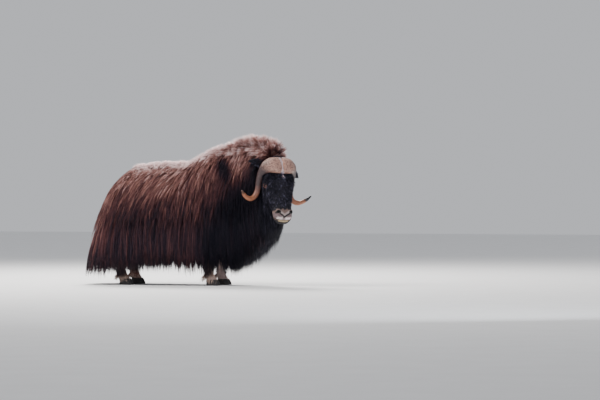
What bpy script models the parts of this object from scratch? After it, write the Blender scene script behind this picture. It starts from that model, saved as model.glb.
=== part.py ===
"""A bull muskox, life size, standing with its head turned to its right.

The body is first laid out as a straight, symmetric animal: x runs forward from behind the rump,
y to its left and z up. carry() then sweeps the coat backwards as it falls and bends the neck to
the right. The head is built in its own frame. Everything is in metres, with the floor at z = 0.
"""

import math
import random

import bmesh
import bpy
from mathutils import Matrix, Vector

# Overall places, before the model is centred on its origin
CENTRE_X, CENTRE_Y = 1.193, -0.051  # the middle of the finished model's box
GAP = 0.0003  # left between neighbouring solids
FLOOR_CLEARANCE = 0.03  # of the lowest hair tips

# The spine in plan
NECK_START, NECK_LENGTH, NECK_TURN = 1.56, 0.43, math.radians(34)
NECK_END = NECK_START + NECK_LENGTH
BODY_END = NECK_END + 0.15  # before it is cut to meet the head
NECK_RADIUS = NECK_LENGTH / NECK_TURN

# Where the body's nodes meet, along the straight spine
RUMP_JOINT, HAUNCH_JOINT, FLANK_JOINT, NECK_JOINT = 0.66, 1.02, 1.36, 1.72

# The coat's lie
SWEEP = 0.31  # how far back the hair of the back has moved where it hangs
SWEEP_END_Z = 0.45  # below this height it hangs plumb

# The rump, where the coat fans round from the flanks to the tail
FAN_X, FAN_REACH, FAN_FLARE = 0.62, 0.175, 0.10
FAN_RADIUS = 0.27  # turns metres round the rump into an angle
FAN_END = -FAN_RADIUS * math.pi / 2

# The flesh that the coat grows on
BELLY_Z, THROAT_Z = 0.52, 0.66
ROOT_DEPTH = 0.03  # how far a lock is sunk into its core

# Legs
FORELEG_X, FORELEG_Y = 1.34, 0.15
HINDLEG_X, HINDLEG_Y = 0.43, 0.15

# The head: its level frame stands at the groove of the boss
HEAD_FORWARD = 0.20  # from the end of the neck to the front of the boss
NECK_FACE, CROWN_FACE = -0.172, -0.048  # where the neck ends, below and above the level of the ears
HEAD_TURN = math.radians(44)
HEAD_Z, HEAD_PITCH, HEAD_ROLL = 1.158, math.radians(70), math.radians(-2.5)
BOSS_PITCH = math.radians(58)  # of the boss's face, which leans back more than the forehead
BOSS_RISE = 0.05  # of the boss above the skull's own origin
EYE_RADIUS = 0.021
EYE_AT = Vector((0.172, 0.139, -0.050))
EYE_LOOK = Vector((0.18, 0.84, 0.50)).normalized()


def profile(*points):
    """A smooth curve through (place, value) pairs, level at both ends and never overshooting."""
    xs = [p[0] for p in points]
    ys = [p[1] for p in points]
    steps = [(ys[i + 1] - ys[i]) / (xs[i + 1] - xs[i]) for i in range(len(xs) - 1)]
    slopes = [steps[0]]
    for before, after in zip(steps, steps[1:]):
        slopes.append(2 * before * after / (before + after) if before * after > 0 else 0.0)
    slopes.append(steps[-1])

    def value(x):
        if x <= xs[0]:
            return ys[0]
        if x >= xs[-1]:
            return ys[-1]
        i = next(k for k in range(len(xs) - 1) if x <= xs[k + 1])
        width = xs[i + 1] - xs[i]
        t = (x - xs[i]) / width
        return (
            ys[i] * (1 + 2 * t) * (1 - t) ** 2
            + ys[i + 1] * t * t * (3 - 2 * t)
            + width * (slopes[i] * t * (1 - t) ** 2 - slopes[i + 1] * t * t * (1 - t))
        )

    return value


# The coat's outer surface along the straight body
ridge_z = profile(
    (0.62, 1.185), (0.90, 1.212), (1.10, 1.212), (1.22, 1.268), (1.34, 1.328), (1.48, 1.362),
    (1.62, 1.388), (1.74, 1.412), (1.88, 1.405), (2.00, 1.368), (2.08, 1.335), (2.14, 1.265),
)
widest_z = profile((0.62, 0.84), (1.10, 0.86), (1.50, 0.94), (2.05, 1.00))
half_width = profile(
    (0.62, 0.335), (0.95, 0.375), (1.30, 0.370), (1.60, 0.325), (1.85, 0.270), (2.0, 0.240), (2.14, 0.190)
)
hem_z = profile(
    (0.62, 0.165), (0.95, 0.185), (1.20, 0.205), (1.50, 0.165), (1.68, 0.175), (1.80, 0.20),
    (1.93, 0.26), (2.05, 0.355), (2.15, 0.42),
)
hem_share = profile((0.62, 0.97), (1.30, 0.93), (1.55, 0.86), (1.80, 0.60), (2.05, 0.42))  # of half_width
sweep_share = profile((1.00, 1.0), (1.50, 0.75), (2.05, 0.25))
crest_depth = profile((1.00, 0.050), (1.35, 0.10), (1.60, 0.13), (2.05, 0.12))  # of the coat on the ridge
FLANK_DEPTH, SKIRT_DEPTH = 0.085, 0.10  # of the coat on the side and at the belly


def carry(point):
    """Takes a point of the straight animal to its place in the standing one."""
    x, y, z = point
    top = ridge_z(x)
    fall = min(max((z - SWEEP_END_Z) / (top - SWEEP_END_Z), 0.0), 1.0)
    x -= SWEEP * sweep_share(x) * (1 - fall * fall)
    along = x - NECK_START
    if along <= 0:
        return Vector((x - CENTRE_X, y - CENTRE_Y, z))
    turn = min(along, NECK_LENGTH) / NECK_RADIUS
    past = max(along - NECK_LENGTH, 0.0)
    ahead = Vector((math.cos(turn), -math.sin(turn), 0.0))
    left = Vector((math.sin(turn), math.cos(turn), 0.0))
    spine = Vector((NECK_START + NECK_RADIUS * math.sin(turn), -NECK_RADIUS * (1 - math.cos(turn)), z))
    return spine + ahead * past + left * y - Vector((CENTRE_X, CENTRE_Y, 0.0))


def coat_base(side, a, v):
    """A point of the coat's outer surface on the straight animal.

    a runs forward along the flank in metres from the rump's fan, and is negative round the rump.
    v is 0 on the ridge of the back, 1 at the widest and 2 at the hem.
    """
    x = FAN_X + max(a, 0.0)
    angle = min(a, 0.0) / FAN_RADIUS
    wide, rear = half_width(x), FAN_REACH
    high, middle, low = ridge_z(x), widest_z(x), hem_z(x)
    if v <= 1:
        out = math.sin(max(v, 0.0) * math.pi / 2)
        z = middle + (high - middle) * math.cos(v * math.pi / 2)
        wide, rear = wide * out, rear * out
    else:
        z = middle + (low - middle) * (v - 1)
        wide *= 1 + (hem_share(x) - 1) * (v - 1) ** 1.5
        rear += FAN_FLARE * (v - 1)
    return Vector((x + rear * math.sin(angle), side * wide * math.cos(angle), z))


def coat_point(side, a, v, out):
    """A point out metres outside the coat's surface, or inside where out is negative."""
    step = 0.004
    here = coat_base(side, a, v)
    if v < step:
        return here + Vector((0.0, 0.0, out))
    along = coat_base(side, a + step, v) - coat_base(side, a - step, v)
    down = coat_base(side, a, v + step) - coat_base(side, a, v - step)
    return here + along.cross(down).normalized() * out * side


def coat_depth(x, v):
    """The coat's thickness, from the skin to the tips."""
    top = crest_depth(x)
    if v <= 1:
        return top + (FLANK_DEPTH - top) * math.sin(v * math.pi / 2)
    return FLANK_DEPTH + (SKIRT_DEPTH - FLANK_DEPTH) * (v - 1)


def v_of_z(x, z):
    """The coat coordinate below the widest line that lies at height z."""
    return 1 + (widest_z(x) - z) / (widest_z(x) - hem_z(x))


def under_z(x):
    """The flat underside of the flesh, rising from the belly to the throat."""
    rise = min(max((x - NECK_JOINT) / (NECK_END - NECK_JOINT), 0.0), 1.0)
    return BELLY_Z + (THROAT_Z - BELLY_Z) * rise * rise


def material(name, colour, roughness=0.8):
    made = bpy.data.materials.new(name)
    made.use_nodes = True
    shader = made.node_tree.nodes["Principled BSDF"]
    shader.inputs["Base Color"].default_value = (*colour, 1.0)
    shader.inputs["Roughness"].default_value = roughness
    shader.inputs["Metallic"].default_value = 0.0
    made.diffuse_color = (*colour, 1.0)
    return made


def solid(name, points, faces, finish=None):
    """An object from points and faces, with its doubles welded and its faces turned outwards."""
    mesh = bpy.data.meshes.new(name)
    mesh.from_pydata([tuple(p) for p in points], [], faces)
    work = bmesh.new()
    work.from_mesh(mesh)
    bmesh.ops.remove_doubles(work, verts=work.verts, dist=1e-5)
    bmesh.ops.dissolve_degenerate(work, edges=work.edges, dist=1e-6)
    bmesh.ops.triangulate(work, faces=work.faces)
    bmesh.ops.recalc_face_normals(work, faces=work.faces)
    if work.calc_volume(signed=True) < 0:
        bmesh.ops.reverse_faces(work, faces=work.faces)
    work.to_mesh(mesh)
    work.free()
    if finish:
        mesh.materials.append(finish)
    made = bpy.data.objects.new(name, mesh)
    bpy.context.scene.collection.objects.link(made)
    return made


def loft(name, rings, finish=None, split=None):
    """A closed solid through rings of equally many points, with both ends capped.

    split is a direction: each four-sided face is then parted along it, so that two solids that
    share a twisted wall part it alike.
    """
    count = len(rings[0])
    points = [p for ring in rings for p in ring]
    faces = [tuple(range(count)), tuple(len(points) - 1 - k for k in range(count))]
    for i in range(len(rings) - 1):
        for k in range(count):
            a, b = i * count + k, i * count + (k + 1) % count
            c, d = b + count, a + count
            if split is None:
                faces.append((a, b, c, d))
            elif points[a].dot(split) < points[b].dot(split):
                faces += [(a, b, c), (a, c, d)]
            else:
                faces += [(a, b, d), (b, c, d)]
    return solid(name, points, faces, finish)


FLATNESS = 0.001  # radians, below which two faces are joined


def largest_surface(mesh):
    """Leaves a mesh only its largest closed surface, with its flat faces joined and then split."""
    work = bmesh.new()
    work.from_mesh(mesh)
    left, shells = set(work.faces), []
    while left:
        shell, edge = set(), {left.pop()}
        while edge:
            shell |= edge
            edge = {n for f in edge for e in f.edges for n in e.link_faces} - shell
        left -= shell
        shells.append(shell)
    shells.sort(key=lambda faces: sum(f.calc_area() for f in faces))
    for shell in shells[:-1]:
        bmesh.ops.delete(work, geom=list(shell), context="FACES")
    bmesh.ops.delete(work, geom=[p for p in work.verts if not p.link_faces], context="VERTS")
    bmesh.ops.dissolve_limit(work, angle_limit=FLATNESS, verts=work.verts, edges=work.edges)
    bmesh.ops.triangulate(work, faces=work.faces)
    work.to_mesh(mesh)
    work.free()


def carved(obj, add=(), keep=(), cut=()):
    """Fuses add to obj and removes those pieces, keeps what lies in keep, and cuts cut away."""
    group = bpy.data.collections.new(obj.name + "_pieces")
    bpy.context.scene.collection.children.link(group)
    for piece in add:
        bpy.context.scene.collection.objects.unlink(piece)
        group.objects.link(piece)
    if add:
        union = obj.modifiers.new("union", "BOOLEAN")
        union.operation, union.solver = "UNION", "MANIFOLD"
        union.operand_type, union.collection = "COLLECTION", group
    for operation, tools in (("INTERSECT", keep), ("DIFFERENCE", cut)):
        for tool in tools:
            step = obj.modifiers.new("step", "BOOLEAN")
            step.operation, step.solver, step.object = operation, "MANIFOLD", tool
    graph = bpy.context.evaluated_depsgraph_get()
    mesh = bpy.data.meshes.new_from_object(obj.evaluated_get(graph))
    obj.modifiers.clear()
    largest_surface(mesh)
    obj.data = mesh
    dropped(*add)
    bpy.data.collections.remove(group)
    return obj


def dropped(*objects):
    for obj in objects:
        bpy.data.objects.remove(obj)


def swollen(obj, by=GAP):
    """A copy of obj that is by metres larger all over, as a cutter."""
    mesh = obj.data.copy()
    made = bpy.data.objects.new(obj.name + "_swollen", mesh)
    bpy.context.scene.collection.objects.link(made)
    normals = [v.normal.copy() for v in mesh.vertices]
    for vertex, normal in zip(mesh.vertices, normals):
        vertex.co += normal * by * 1.6
    made.hide_render = True
    return made


CELL_LEVELS = [-0.4, 0.30, 0.45, 0.58, 0.70, 0.82, 0.94, 1.06, 1.18, 1.30, 1.42, 1.8]
CELL_STEPS = 6
CELL_SPLIT = Vector((0.83, 0.56, 0.0))


def cell(name, x0, x1, y0, y1):
    """The room of one node: the block between two stations and two distances from the spine."""
    along = [x0 + (x1 - x0) * k / CELL_STEPS for k in range(CELL_STEPS + 1)]
    middle = [0.0] if y0 < 0 < y1 else []
    edge = [(x, y0) for x in along] + [(x1, y) for y in middle]
    edge += [(x, y1) for x in reversed(along)] + [(x0, y) for y in middle]
    made = loft(name, [[carry((x, y, z)) for x, y in edge] for z in CELL_LEVELS], split=CELL_SPLIT)
    made.hide_render = True
    return made


STATIONS = [FAN_X + k * (BODY_END - FAN_X) / 12 for k in range(13)]
FAN_STEPS = 4


def body_loop():
    """(side, a) of each generator, from the front of the left flank round the rump to the right."""
    left = [(1, x - FAN_X) for x in reversed(STATIONS)]
    fan = [(1, FAN_END * k / FAN_STEPS) for k in range(1, FAN_STEPS + 1)]
    half = left + fan
    return half + [(-1, a) for _, a in reversed(half[:-1])]


def core_outline(x):
    """The flesh and the inner half of its coat, down to the flat of the belly."""
    low = v_of_z(x, under_z(x))
    sides = [0.0, 0.25, 0.5, 0.75, 1.0, 1.0 + 0.5 * (low - 1)]
    line = [(v, coat_depth(x, v) / 2) for v in sides]
    return line + [(low, coat_depth(x, low) * 0.6)]


def body_solid(name):
    """The straight body's core as one closed solid."""
    loop = body_loop()
    rows = []
    for side, a in loop:
        x = FAN_X + max(a, 0.0)
        row = [coat_point(side, a, v, -depth) for v, depth in core_outline(x)]
        row[-1].z = under_z(x)
        rows.append(row)
    deep = len(rows[0])
    points = [carry(p) for row in rows for p in row]
    faces = []
    for j in range(len(rows) - 1):
        for k in range(deep - 1):
            a, b = j * deep + k, (j + 1) * deep + k
            faces.append((a, b, b + 1, a + 1))
    count, last = len(STATIONS), deep - 1
    total = len(rows)
    for i in range(count - 1):
        left, right = i * deep + last, (total - 1 - i) * deep + last
        faces.append((left, left + deep, right - deep, right))
    faces.append(tuple(j * deep + last for j in range(count - 1, total - count + 1)))
    front = list(range(deep)) + [(total - 1) * deep + k for k in range(deep - 1, 0, -1)]
    faces.append(tuple(front))
    return solid(name, points, faces)


def strand(name, rings, tip):
    """A flat, three-sided lock through its rings to its pointed tip."""
    points = [p for ring in rings for p in ring] + [tip]
    faces = [(0, 2, 1)]
    for i in range(len(rings) - 1):
        for k in range(3):
            p, q = 3 * i + k, 3 * i + (k + 1) % 3
            faces.append((p, q, q + 3, p + 3))
    end = 3 * (len(rings) - 1)
    faces += [(end + k, end + (k + 1) % 3, len(points) - 1) for k in range(3)]
    return solid(name, points, faces)


def taper(t):
    """A lock's share of its width along its length: fullest a third of the way down."""
    return (1 - t**2.4) * (0.62 + 0.48 * math.sin(min(t * 2.6, 1.0) * math.pi / 2))


def lock(name, side, a, left, right, v0, v1, depth0, depth1, sway, thick, steps):
    """A lock that lies along the coat, from its root sunk in the core to its tip.

    left and right are its half widths, depth0 and depth1 how deep its root and tip lie.
    """
    rings = []
    for i in range(steps):
        t = i / steps
        v = v0 + (v1 - v0) * t
        here = a + sway * t * t
        depth = depth1 + (depth0 - depth1) * (1 - t) ** 1.6
        full = thick * (1 - 0.45 * t)
        edge = -depth - full * 0.3
        ring = [(here - left * taper(t), edge), (here, -depth + full), (here + right * taper(t), edge)]
        rings.append([carry(coat_point(side, along, v, out)) for along, out in ring])
    return strand(name, rings, carry(coat_point(side, a + sway, v1, -depth1)))


def tuft(name, path, across, out, half, thick, place):
    """A lock through the points of path, its last point its tip, given its half width and thickness."""
    rings = []
    for i, here in enumerate(path[:-1]):
        t = i / (len(path) - 1)
        wide, full = across * half * taper(t), out * thick * (1 - 0.45 * t)
        rings.append([place(here - wide - full * 0.3), place(here + full), place(here + wide - full * 0.3)])
    return strand(name, rings, place(path[-1]))


# Each tier of the coat: where its locks' roots and tips lie, down from the ridge, how deep, and
# the rings of a lock
TIERS = [
    (0.10, 0.52, 0.004, 3),
    (0.38, 0.88, 0.004, 3),
    (0.70, 1.22, 0.006, 4),
    (1.02, 1.60, 0.008, 4),
    (1.38, 1.99, 0.028, 3),
    (1.30, 1.90, 0.006, 4),
]
INNER_SKIRT = 4  # the tier that the chest's own hair replaces from here forward
CHEST_START = 1.84
NAPE_START = 1.80  # where the crest's own hair replaces the top tier
LOCK_SPACING = 0.186
LOCK_THICKNESS = 0.020
GRAZE = 0.02  # a lock that reaches less far than this into a node is left out of it


def tier_locks(side, a0, a1, tier, draw):
    """One tier of locks between two places along the flank, each with its reach along it."""
    v0, v1, outer, steps = TIERS[tier]
    length = a1 - a0
    if a1 <= 0:
        length *= math.sin(min(v0 + 0.2, 1.0) * math.pi / 2)
    count = max(1, round(length / LOCK_SPACING))
    pitch = (a1 - a0) / count
    planned = []
    for j in range(count):
        a = a0 + (j + 0.25 + 0.5 * (tier % 2) + draw.uniform(-0.10, 0.10)) * pitch
        x = FAN_X + max(a, 0.0)
        half = draw.uniform(0.56, 0.68) * pitch
        root = min(v0 + draw.uniform(-0.04, 0.04), v_of_z(x, under_z(x)) - 0.06)
        tip = v1 + draw.uniform(-0.07, 0.04)
        inner = coat_depth(x, root) / 2 + ROOT_DEPTH
        depth = outer + draw.uniform(0.0, 0.012)
        sway = draw.uniform(-0.30, 0.10) * pitch
        args = (side, a, half, half, root, tip, inner, depth, sway, LOCK_THICKNESS, steps)
        replaced = (tier == INNER_SKIRT and x > CHEST_START) or (tier == 0 and x > NAPE_START)
        if not replaced:
            planned.append((a - half, a + half, lock, args))
    return planned


CREST_START, CREST_SPACING, CREST_HALF = 1.06, 0.112, 0.056
crest_rise = profile((1.06, 0.006), (1.35, 0.028), (1.70, 0.044), (2.0, 0.040), (2.14, 0.03))
# Its rows: where each starts, its distance from the middle line and its share of the rise
CREST_ROWS = [(CREST_START, 0.0, 1.0), (1.46, 0.080, 0.55)]


def crest_tufts(side, draw):
    """The erect hair of the hump and the neck, leaning back.

    Its middle row stands on the midline, and the neck takes that of the right side for both.
    """
    planned = []
    for start, off, share in CREST_ROWS:
        x = start + CREST_HALF
        while x < BODY_END - 0.01:
            base = coat_point(side, x - FAN_X, off / half_width(x) * 0.64, 0.0)
            rise = crest_rise(x) * share + draw.uniform(-0.006, 0.006)
            lean = 0.075 + draw.uniform(-0.01, 0.02)
            sunk = crest_depth(x) / 2 + ROOT_DEPTH
            path = [
                base + Vector((0.035, 0, -sunk)),
                base + Vector((0.015, 0, -0.045)),
                base + Vector((-0.2 * lean, side * off * 0.1, -0.010)),
                base + Vector((-lean, side * off * 0.2, rise)),
            ]
            across, out = Vector((0.94, 0.0, 0.34)), Vector((0.0, side, 0.25))
            args = (path, across, out, CREST_HALF, 0.030, carry)
            shared = off == 0 and side > 0 and x - lean > NECK_JOINT
            if not shared:
                planned.append((x - FAN_X - lean, x - FAN_X + CREST_HALF, tuft, args))
            x += CREST_SPACING * (1 + 5 * off) * draw.uniform(0.9, 1.1)
    return planned


def coat_plan(side, draw):
    """Every lock of one side of the body, with how far along the flank it reaches."""
    planned = crest_tufts(side, draw)
    for tier in range(len(TIERS)):
        planned += tier_locks(side, FAN_END, 0.0, tier, draw)
        planned += tier_locks(side, 0.0, BODY_END - FAN_X, tier, draw)
    return planned


def locks_between(name, planned, x0, x1):
    """The planned locks that reach into a node, built."""
    a0, a1 = x0 - FAN_X, x1 - FAN_X
    chosen = [(make, args) for low, high, make, args in planned if high > a0 + GRAZE and low < a1 - GRAZE]
    return [make(f"{name}_lock_{k}", *args) for k, (make, args) in enumerate(chosen)]


# Rows of hair that hang from the throat and chest between the two sides: where along the spine,
# how far to each side, how many
CHEST_ROWS = [(CHEST_START, 0.135, 3), (2.04, 0.100, 3)]


def chest_locks(name, draw):
    """The curtain of hair that closes the front of the chest, down to the hem."""
    made = []
    for x, reach, count in CHEST_ROWS:
        for j in range(count):
            y = reach * (2 * j / (count - 1) - 1)
            top = under_z(min(x, NECK_END)) + 0.07
            low = hem_z(x) + draw.uniform(0.0, 0.03)
            lean = draw.uniform(-0.01, 0.03)
            path = [
                Vector((x - lean * t * t, y * (1 - 0.25 * t), top + (low - top) * t))
                for t in (0.0, 0.35, 0.7, 1.0)
            ]
            across, out = Vector((0, 1, 0)), Vector((1, 0, 0))
            made.append(tuft(f"{name}_chest_{x}_{j}", path, across, out, reach * 0.85, 0.034, carry))
    return made


def body_node(name, whole, x0, x1, sides, finish, locks, cut=()):
    """The share of the body between two stations, on one side or both, with its locks fused on."""
    made = bpy.data.objects.new(name, whole.data.copy())
    bpy.context.scene.collection.objects.link(made)
    made.data.materials.append(finish)
    y0 = -0.60 if -1 in sides else GAP / 2
    y1 = 0.60 if 1 in sides else -GAP / 2
    room = cell(name + "_cell", x0 + GAP / 2, x1 - GAP / 2, y0, y1)
    carved(made, locks, [room], cut)
    dropped(room)
    return made


def ellipse(centre, across, along, count, squareness=1.0):
    """A ring of points round centre, given its two half-axes as vectors."""
    ring = []
    for k in range(count):
        angle = 2 * math.pi * k / count
        c, s = math.cos(angle), math.sin(angle)
        c = math.copysign(abs(c) ** squareness, c)
        s = math.copysign(abs(s) ** squareness, s)
        ring.append(centre + across * c + along * s)
    return ring


def level_place(x, y, z):
    return Vector((x - CENTRE_X, y - CENTRE_Y, z))


# Height, forward offset, half length and half width of each ring of a foreleg and a hind leg
FORELEG = [
    (0.52, -0.01, 0.085, 0.070),
    (0.42, 0.0, 0.068, 0.058),
    (0.34, 0.012, 0.052, 0.048),
    (0.29, 0.016, 0.050, 0.046),
    (0.24, 0.008, 0.042, 0.040),
    (0.16, 0.0, 0.038, 0.037),
    (0.115, 0.004, 0.046, 0.044),
    (0.08, 0.018, 0.050, 0.050),
    (0.058, 0.028, 0.054, 0.054),
]
HINDLEG = [
    (0.52, 0.07, 0.115, 0.075),
    (0.45, 0.015, 0.085, 0.060),
    (0.39, -0.03, 0.064, 0.048),
    (0.34, -0.042, 0.055, 0.043),
    (0.28, -0.030, 0.045, 0.040),
    (0.17, -0.008, 0.040, 0.038),
    (0.12, 0.0, 0.048, 0.044),
    (0.08, 0.016, 0.050, 0.048),
    (0.058, 0.026, 0.054, 0.052),
]
LEGS = [
    ("fore", FORELEG_X, FORELEG_Y, FORELEG),
    ("hind", HINDLEG_X, HINDLEG_Y, HINDLEG),
]
HOOF_HEIGHT = 0.058
# Height, share of its full size and shift ahead of each ring of a hoof
HOOF_RINGS = [
    (HOOF_HEIGHT - GAP, 0.80, -0.006),
    (0.030, 0.94, 0.0),
    (0.008, 1.0, 0.004),
    (0.0, 0.96, 0.004),
]


def leg(name, x, y, rings, finish):
    """A leg from the belly down to the top of its hooves, with two dew claws behind."""
    made = [
        ellipse(
            level_place(x + ahead, y, min(z, BELLY_Z - GAP)),
            Vector((long, 0, 0)),
            Vector((0, wide, 0)),
            9,
        )
        for z, ahead, long, wide in rings
    ]
    shin = loft(name, made, finish)
    claws = []
    for side in (-1, 1):
        top = level_place(x - 0.030, y + side * 0.022, 0.105)
        low = level_place(x - 0.052, y + side * 0.026, 0.068)
        claws.append(
            loft(
                name + "_claw",
                [
                    ellipse(top, Vector((0.016, 0, 0)), Vector((0, 0.013, 0)), 6),
                    ellipse(low, Vector((0.013, 0, 0)), Vector((0, 0.011, 0)), 6),
                ],
            )
        )
    return carved(shin, claws)


def hoof(name, x, y, ahead, inward, finish):
    """One half of a cloven hoof: broad and rounded, pointed ahead, flat on the floor."""
    rings = []
    for z, grow, shift in HOOF_RINGS:
        centre = level_place(x + ahead + shift, y + inward * 0.0290, z)
        ring = []
        for k in range(10):
            angle = 2 * math.pi * k / 10
            c, s = math.cos(angle), math.sin(angle)
            long = 0.068 if c > 0 else 0.054
            narrow = 1 - 0.35 * max(c, 0) ** 2
            ring.append(centre + Vector((long * c * grow, 0.027 * s * grow * narrow, 0)))
        rings.append(ring)
    return loft(name, rings, finish)


def head_frames():
    """The head's level frame, at the front of the boss, and the skull's frame, along the face."""
    tip_x = NECK_START + NECK_RADIUS * math.sin(NECK_TURN) - CENTRE_X
    tip_y = -NECK_RADIUS * (1 - math.cos(NECK_TURN)) - CENTRE_Y
    way = (NECK_TURN + HEAD_TURN) / 2
    place = Vector((tip_x, tip_y, HEAD_Z)) + Vector((math.cos(way), -math.sin(way), 0.0)) * HEAD_FORWARD
    heading = Matrix.Rotation(-HEAD_TURN, 4, "Z")
    level = Matrix.Translation(place) @ heading @ Matrix.Rotation(HEAD_ROLL, 4, "X")
    skull = level @ Matrix.Rotation(HEAD_PITCH, 4, "Y") @ Matrix.Translation((0, 0, -BOSS_RISE))
    return level, skull


# The skull along the face, from behind the boss to the lips: upper line, lower line, half width
face_top = profile(
    (-0.115, -0.020), (-0.06, 0.012), (0.02, 0.026), (0.07, 0.038), (0.12, 0.045), (0.20, 0.036),
    (0.32, 0.012), (0.42, -0.002), (0.46, -0.014), (0.49, -0.034), (0.52, -0.062), (0.54, -0.088),
)
face_low = profile(
    (-0.115, -0.125), (-0.04, -0.200), (0.10, -0.236), (0.22, -0.240), (0.32, -0.205),
    (0.42, -0.165), (0.49, -0.138), (0.525, -0.122), (0.540, -0.108),
)
face_wide = profile(
    (-0.115, 0.060), (-0.06, 0.105), (0.02, 0.132), (0.10, 0.146), (0.17, 0.146), (0.24, 0.135),
    (0.32, 0.115), (0.38, 0.102), (0.44, 0.098), (0.485, 0.094), (0.515, 0.078), (0.54, 0.044),
)
FACE_STATIONS = [
    -0.115, -0.08, -0.03, 0.02, 0.07, 0.12, 0.18, 0.24, 0.30, 0.36, 0.41, 0.45, 0.48, 0.505, 0.525, 0.54
]
FACE_SIDES = 18
EYE_GRAIN = (8, 12)  # rings and sides of an eyeball and its socket


def face_ring(f):
    """A section across the face: broad and rounded above, narrowing to the jaw."""
    high, low, wide = face_top(f), face_low(f), face_wide(f)
    middle = low + (high - low) * 0.60
    ring = []
    for k in range(FACE_SIDES):
        angle = 2 * math.pi * k / FACE_SIDES
        c, s = math.cos(angle), math.sin(angle)
        across = math.copysign(abs(s) ** 0.85, s) * wide
        if c >= 0:
            up = (high - middle) * c**0.9
        else:
            up = (middle - low) * -(abs(c) ** 0.95)
            across *= 1 - 0.30 * abs(c) ** 1.5
        ring.append(Vector((f, across, middle + up)))
    return ring


def ball(name, centre, radii, rings=6, sides=10, turn=None):
    """An ellipsoid, as latitude rings between two poles."""
    points = [Vector((0, 0, 1)), Vector((0, 0, -1))]
    for i in range(1, rings):
        polar = math.pi * i / rings
        for k in range(sides):
            angle = 2 * math.pi * (k + 0.5 * (i % 2)) / sides
            around = math.sin(polar)
            points.append(Vector((around * math.cos(angle), around * math.sin(angle), math.cos(polar))))
    scaled = [Vector((p.x * radii[0], p.y * radii[1], p.z * radii[2])) for p in points]
    placed = [(turn @ p if turn else p) + centre for p in scaled]
    faces = []
    for k in range(sides):
        n = (k + 1) % sides
        faces.append((0, 2 + k, 2 + n))
        faces.append((1, 2 + (rings - 2) * sides + n, 2 + (rings - 2) * sides + k))
        for i in range(rings - 2):
            a = 2 + i * sides
            faces.append((a + k, a + sides + k, a + sides + n, a + n))
    return solid(name, placed, faces)


def in_frame(obj, frame):
    obj.data.transform(frame)
    obj.data.update()
    return obj


def mirrored(p, side):
    return Vector((p.x, p.y * side, p.z))


def eye_turn(side):
    """The eye's own frame: x towards the nose, z out of the eye."""
    look = mirrored(EYE_LOOK, side)
    ahead = (Vector((1, 0, 0)) - look * look.x).normalized()
    return Matrix((ahead, look.cross(ahead), look)).transposed()


def mouth_line():
    """The thin wedge that parts the lips, from the front of the muzzle back to its corners."""
    corner, front = Vector((0.405, 0.0, -0.120)), Vector((0.500, 0.0, -0.045))
    beyond = front + (front - corner).normalized() * 0.08
    half = (front - corner).cross(Vector((0, 1, 0))).normalized() * 0.0024
    sections = []
    for y in (-0.13, -0.088, -0.070, -0.045, 0.0, 0.045, 0.070, 0.088, 0.13):
        inner = corner.lerp(front, 0.86 * max(1 - (y / 0.092) ** 2, 0.0))
        across = Vector((0, y, 0))
        low, high = across - half, across + half
        sections.append([inner + low, beyond + low - half, beyond + high + half, inner + high])
    return loft("mouth", sections)


def face(finish):
    """The head: skull and jaw, brows, lids, nostrils, lips and the line of the mouth."""
    made = loft("head", [face_ring(f) for f in FACE_STATIONS], finish)
    added = []
    for side in (-1, 1):
        turn = eye_turn(side)
        eye = mirrored(EYE_AT, side)
        added.append(ball("brow", mirrored(Vector((0.148, 0.112, -0.036)), side), (0.060, 0.040, 0.038)))
        added.append(ball("lid", eye, (EYE_RADIUS + 0.007,) * 3, *EYE_GRAIN, turn))
        wing = mirrored(Vector((0.436, 0.056, -0.024)), side)
        lip = mirrored(Vector((0.478, 0.042, -0.046)), side)
        added.append(ball("nostril_wing", wing, (0.036, 0.036, 0.027)))
        added.append(ball("upper_lip", lip, (0.026, 0.048, 0.032)))
    added.append(ball("lower_lip", Vector((0.514, 0, -0.090)), (0.030, 0.056, 0.030)))
    cutters = []
    for side in (-1, 1):
        turn = eye_turn(side)
        eye = mirrored(EYE_AT, side)
        cutters.append(ball("socket", eye, (EYE_RADIUS + GAP,) * 3, *EYE_GRAIN, turn))
        slit = [
            ellipse(
                eye + turn @ Vector((0, 0, out)),
                turn @ Vector((0.021 * grow, 0, 0)),
                turn @ Vector((0, 0.0115 * grow, 0)),
                10,
            )
            for out, grow in ((0.010, 0.9), (0.034, 1.25))
        ]
        cutters.append(loft("slit", slit))
        nostril = mirrored(Vector((0.448, 0.066, -0.002)), side)
        way = Matrix.Rotation(math.radians(-32) * side, 3, "Z")
        cutters.append(ball("nostril", nostril, (0.012, 0.021, 0.016), 6, 10, way))
    cutters.append(mouth_line())
    carved(made, added, cut=cutters)
    dropped(*cutters)
    return made


# The horn's path from the groove: forward, sideways and up from the boss's front, with the ring's
# half height and half thickness
HORN = [
    (-0.022, 0.004, 0.000, 0.060, 0.024),
    (-0.014, 0.013, 0.000, 0.078, 0.038),
    (-0.010, 0.045, 0.000, 0.083, 0.046),
    (-0.018, 0.088, -0.002, 0.079, 0.047),
    (-0.038, 0.124, -0.018, 0.067, 0.044),
    (-0.066, 0.149, -0.052, 0.050, 0.038),
    (-0.098, 0.163, -0.100, 0.037, 0.033),
    (-0.124, 0.168, -0.160, 0.030, 0.029),
    (-0.140, 0.168, -0.225, 0.027, 0.027),
    (-0.144, 0.180, -0.288, 0.0255, 0.0255),
    (-0.140, 0.208, -0.334, 0.0245, 0.0245),
    (-0.130, 0.252, -0.350, 0.0225, 0.0225),
    (-0.115, 0.297, -0.338, 0.019, 0.019),
    (-0.095, 0.335, -0.312, 0.0135, 0.0135),
    (-0.073, 0.368, -0.277, 0.004, 0.004),
]
RIGHT_HOOK_RISE = 0.022  # the right horn's hook lies this much higher
HORN_SIDES = 12
BROW_FACING = Vector((math.sin(BOSS_PITCH), 0.0, math.cos(BOSS_PITCH)))
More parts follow.
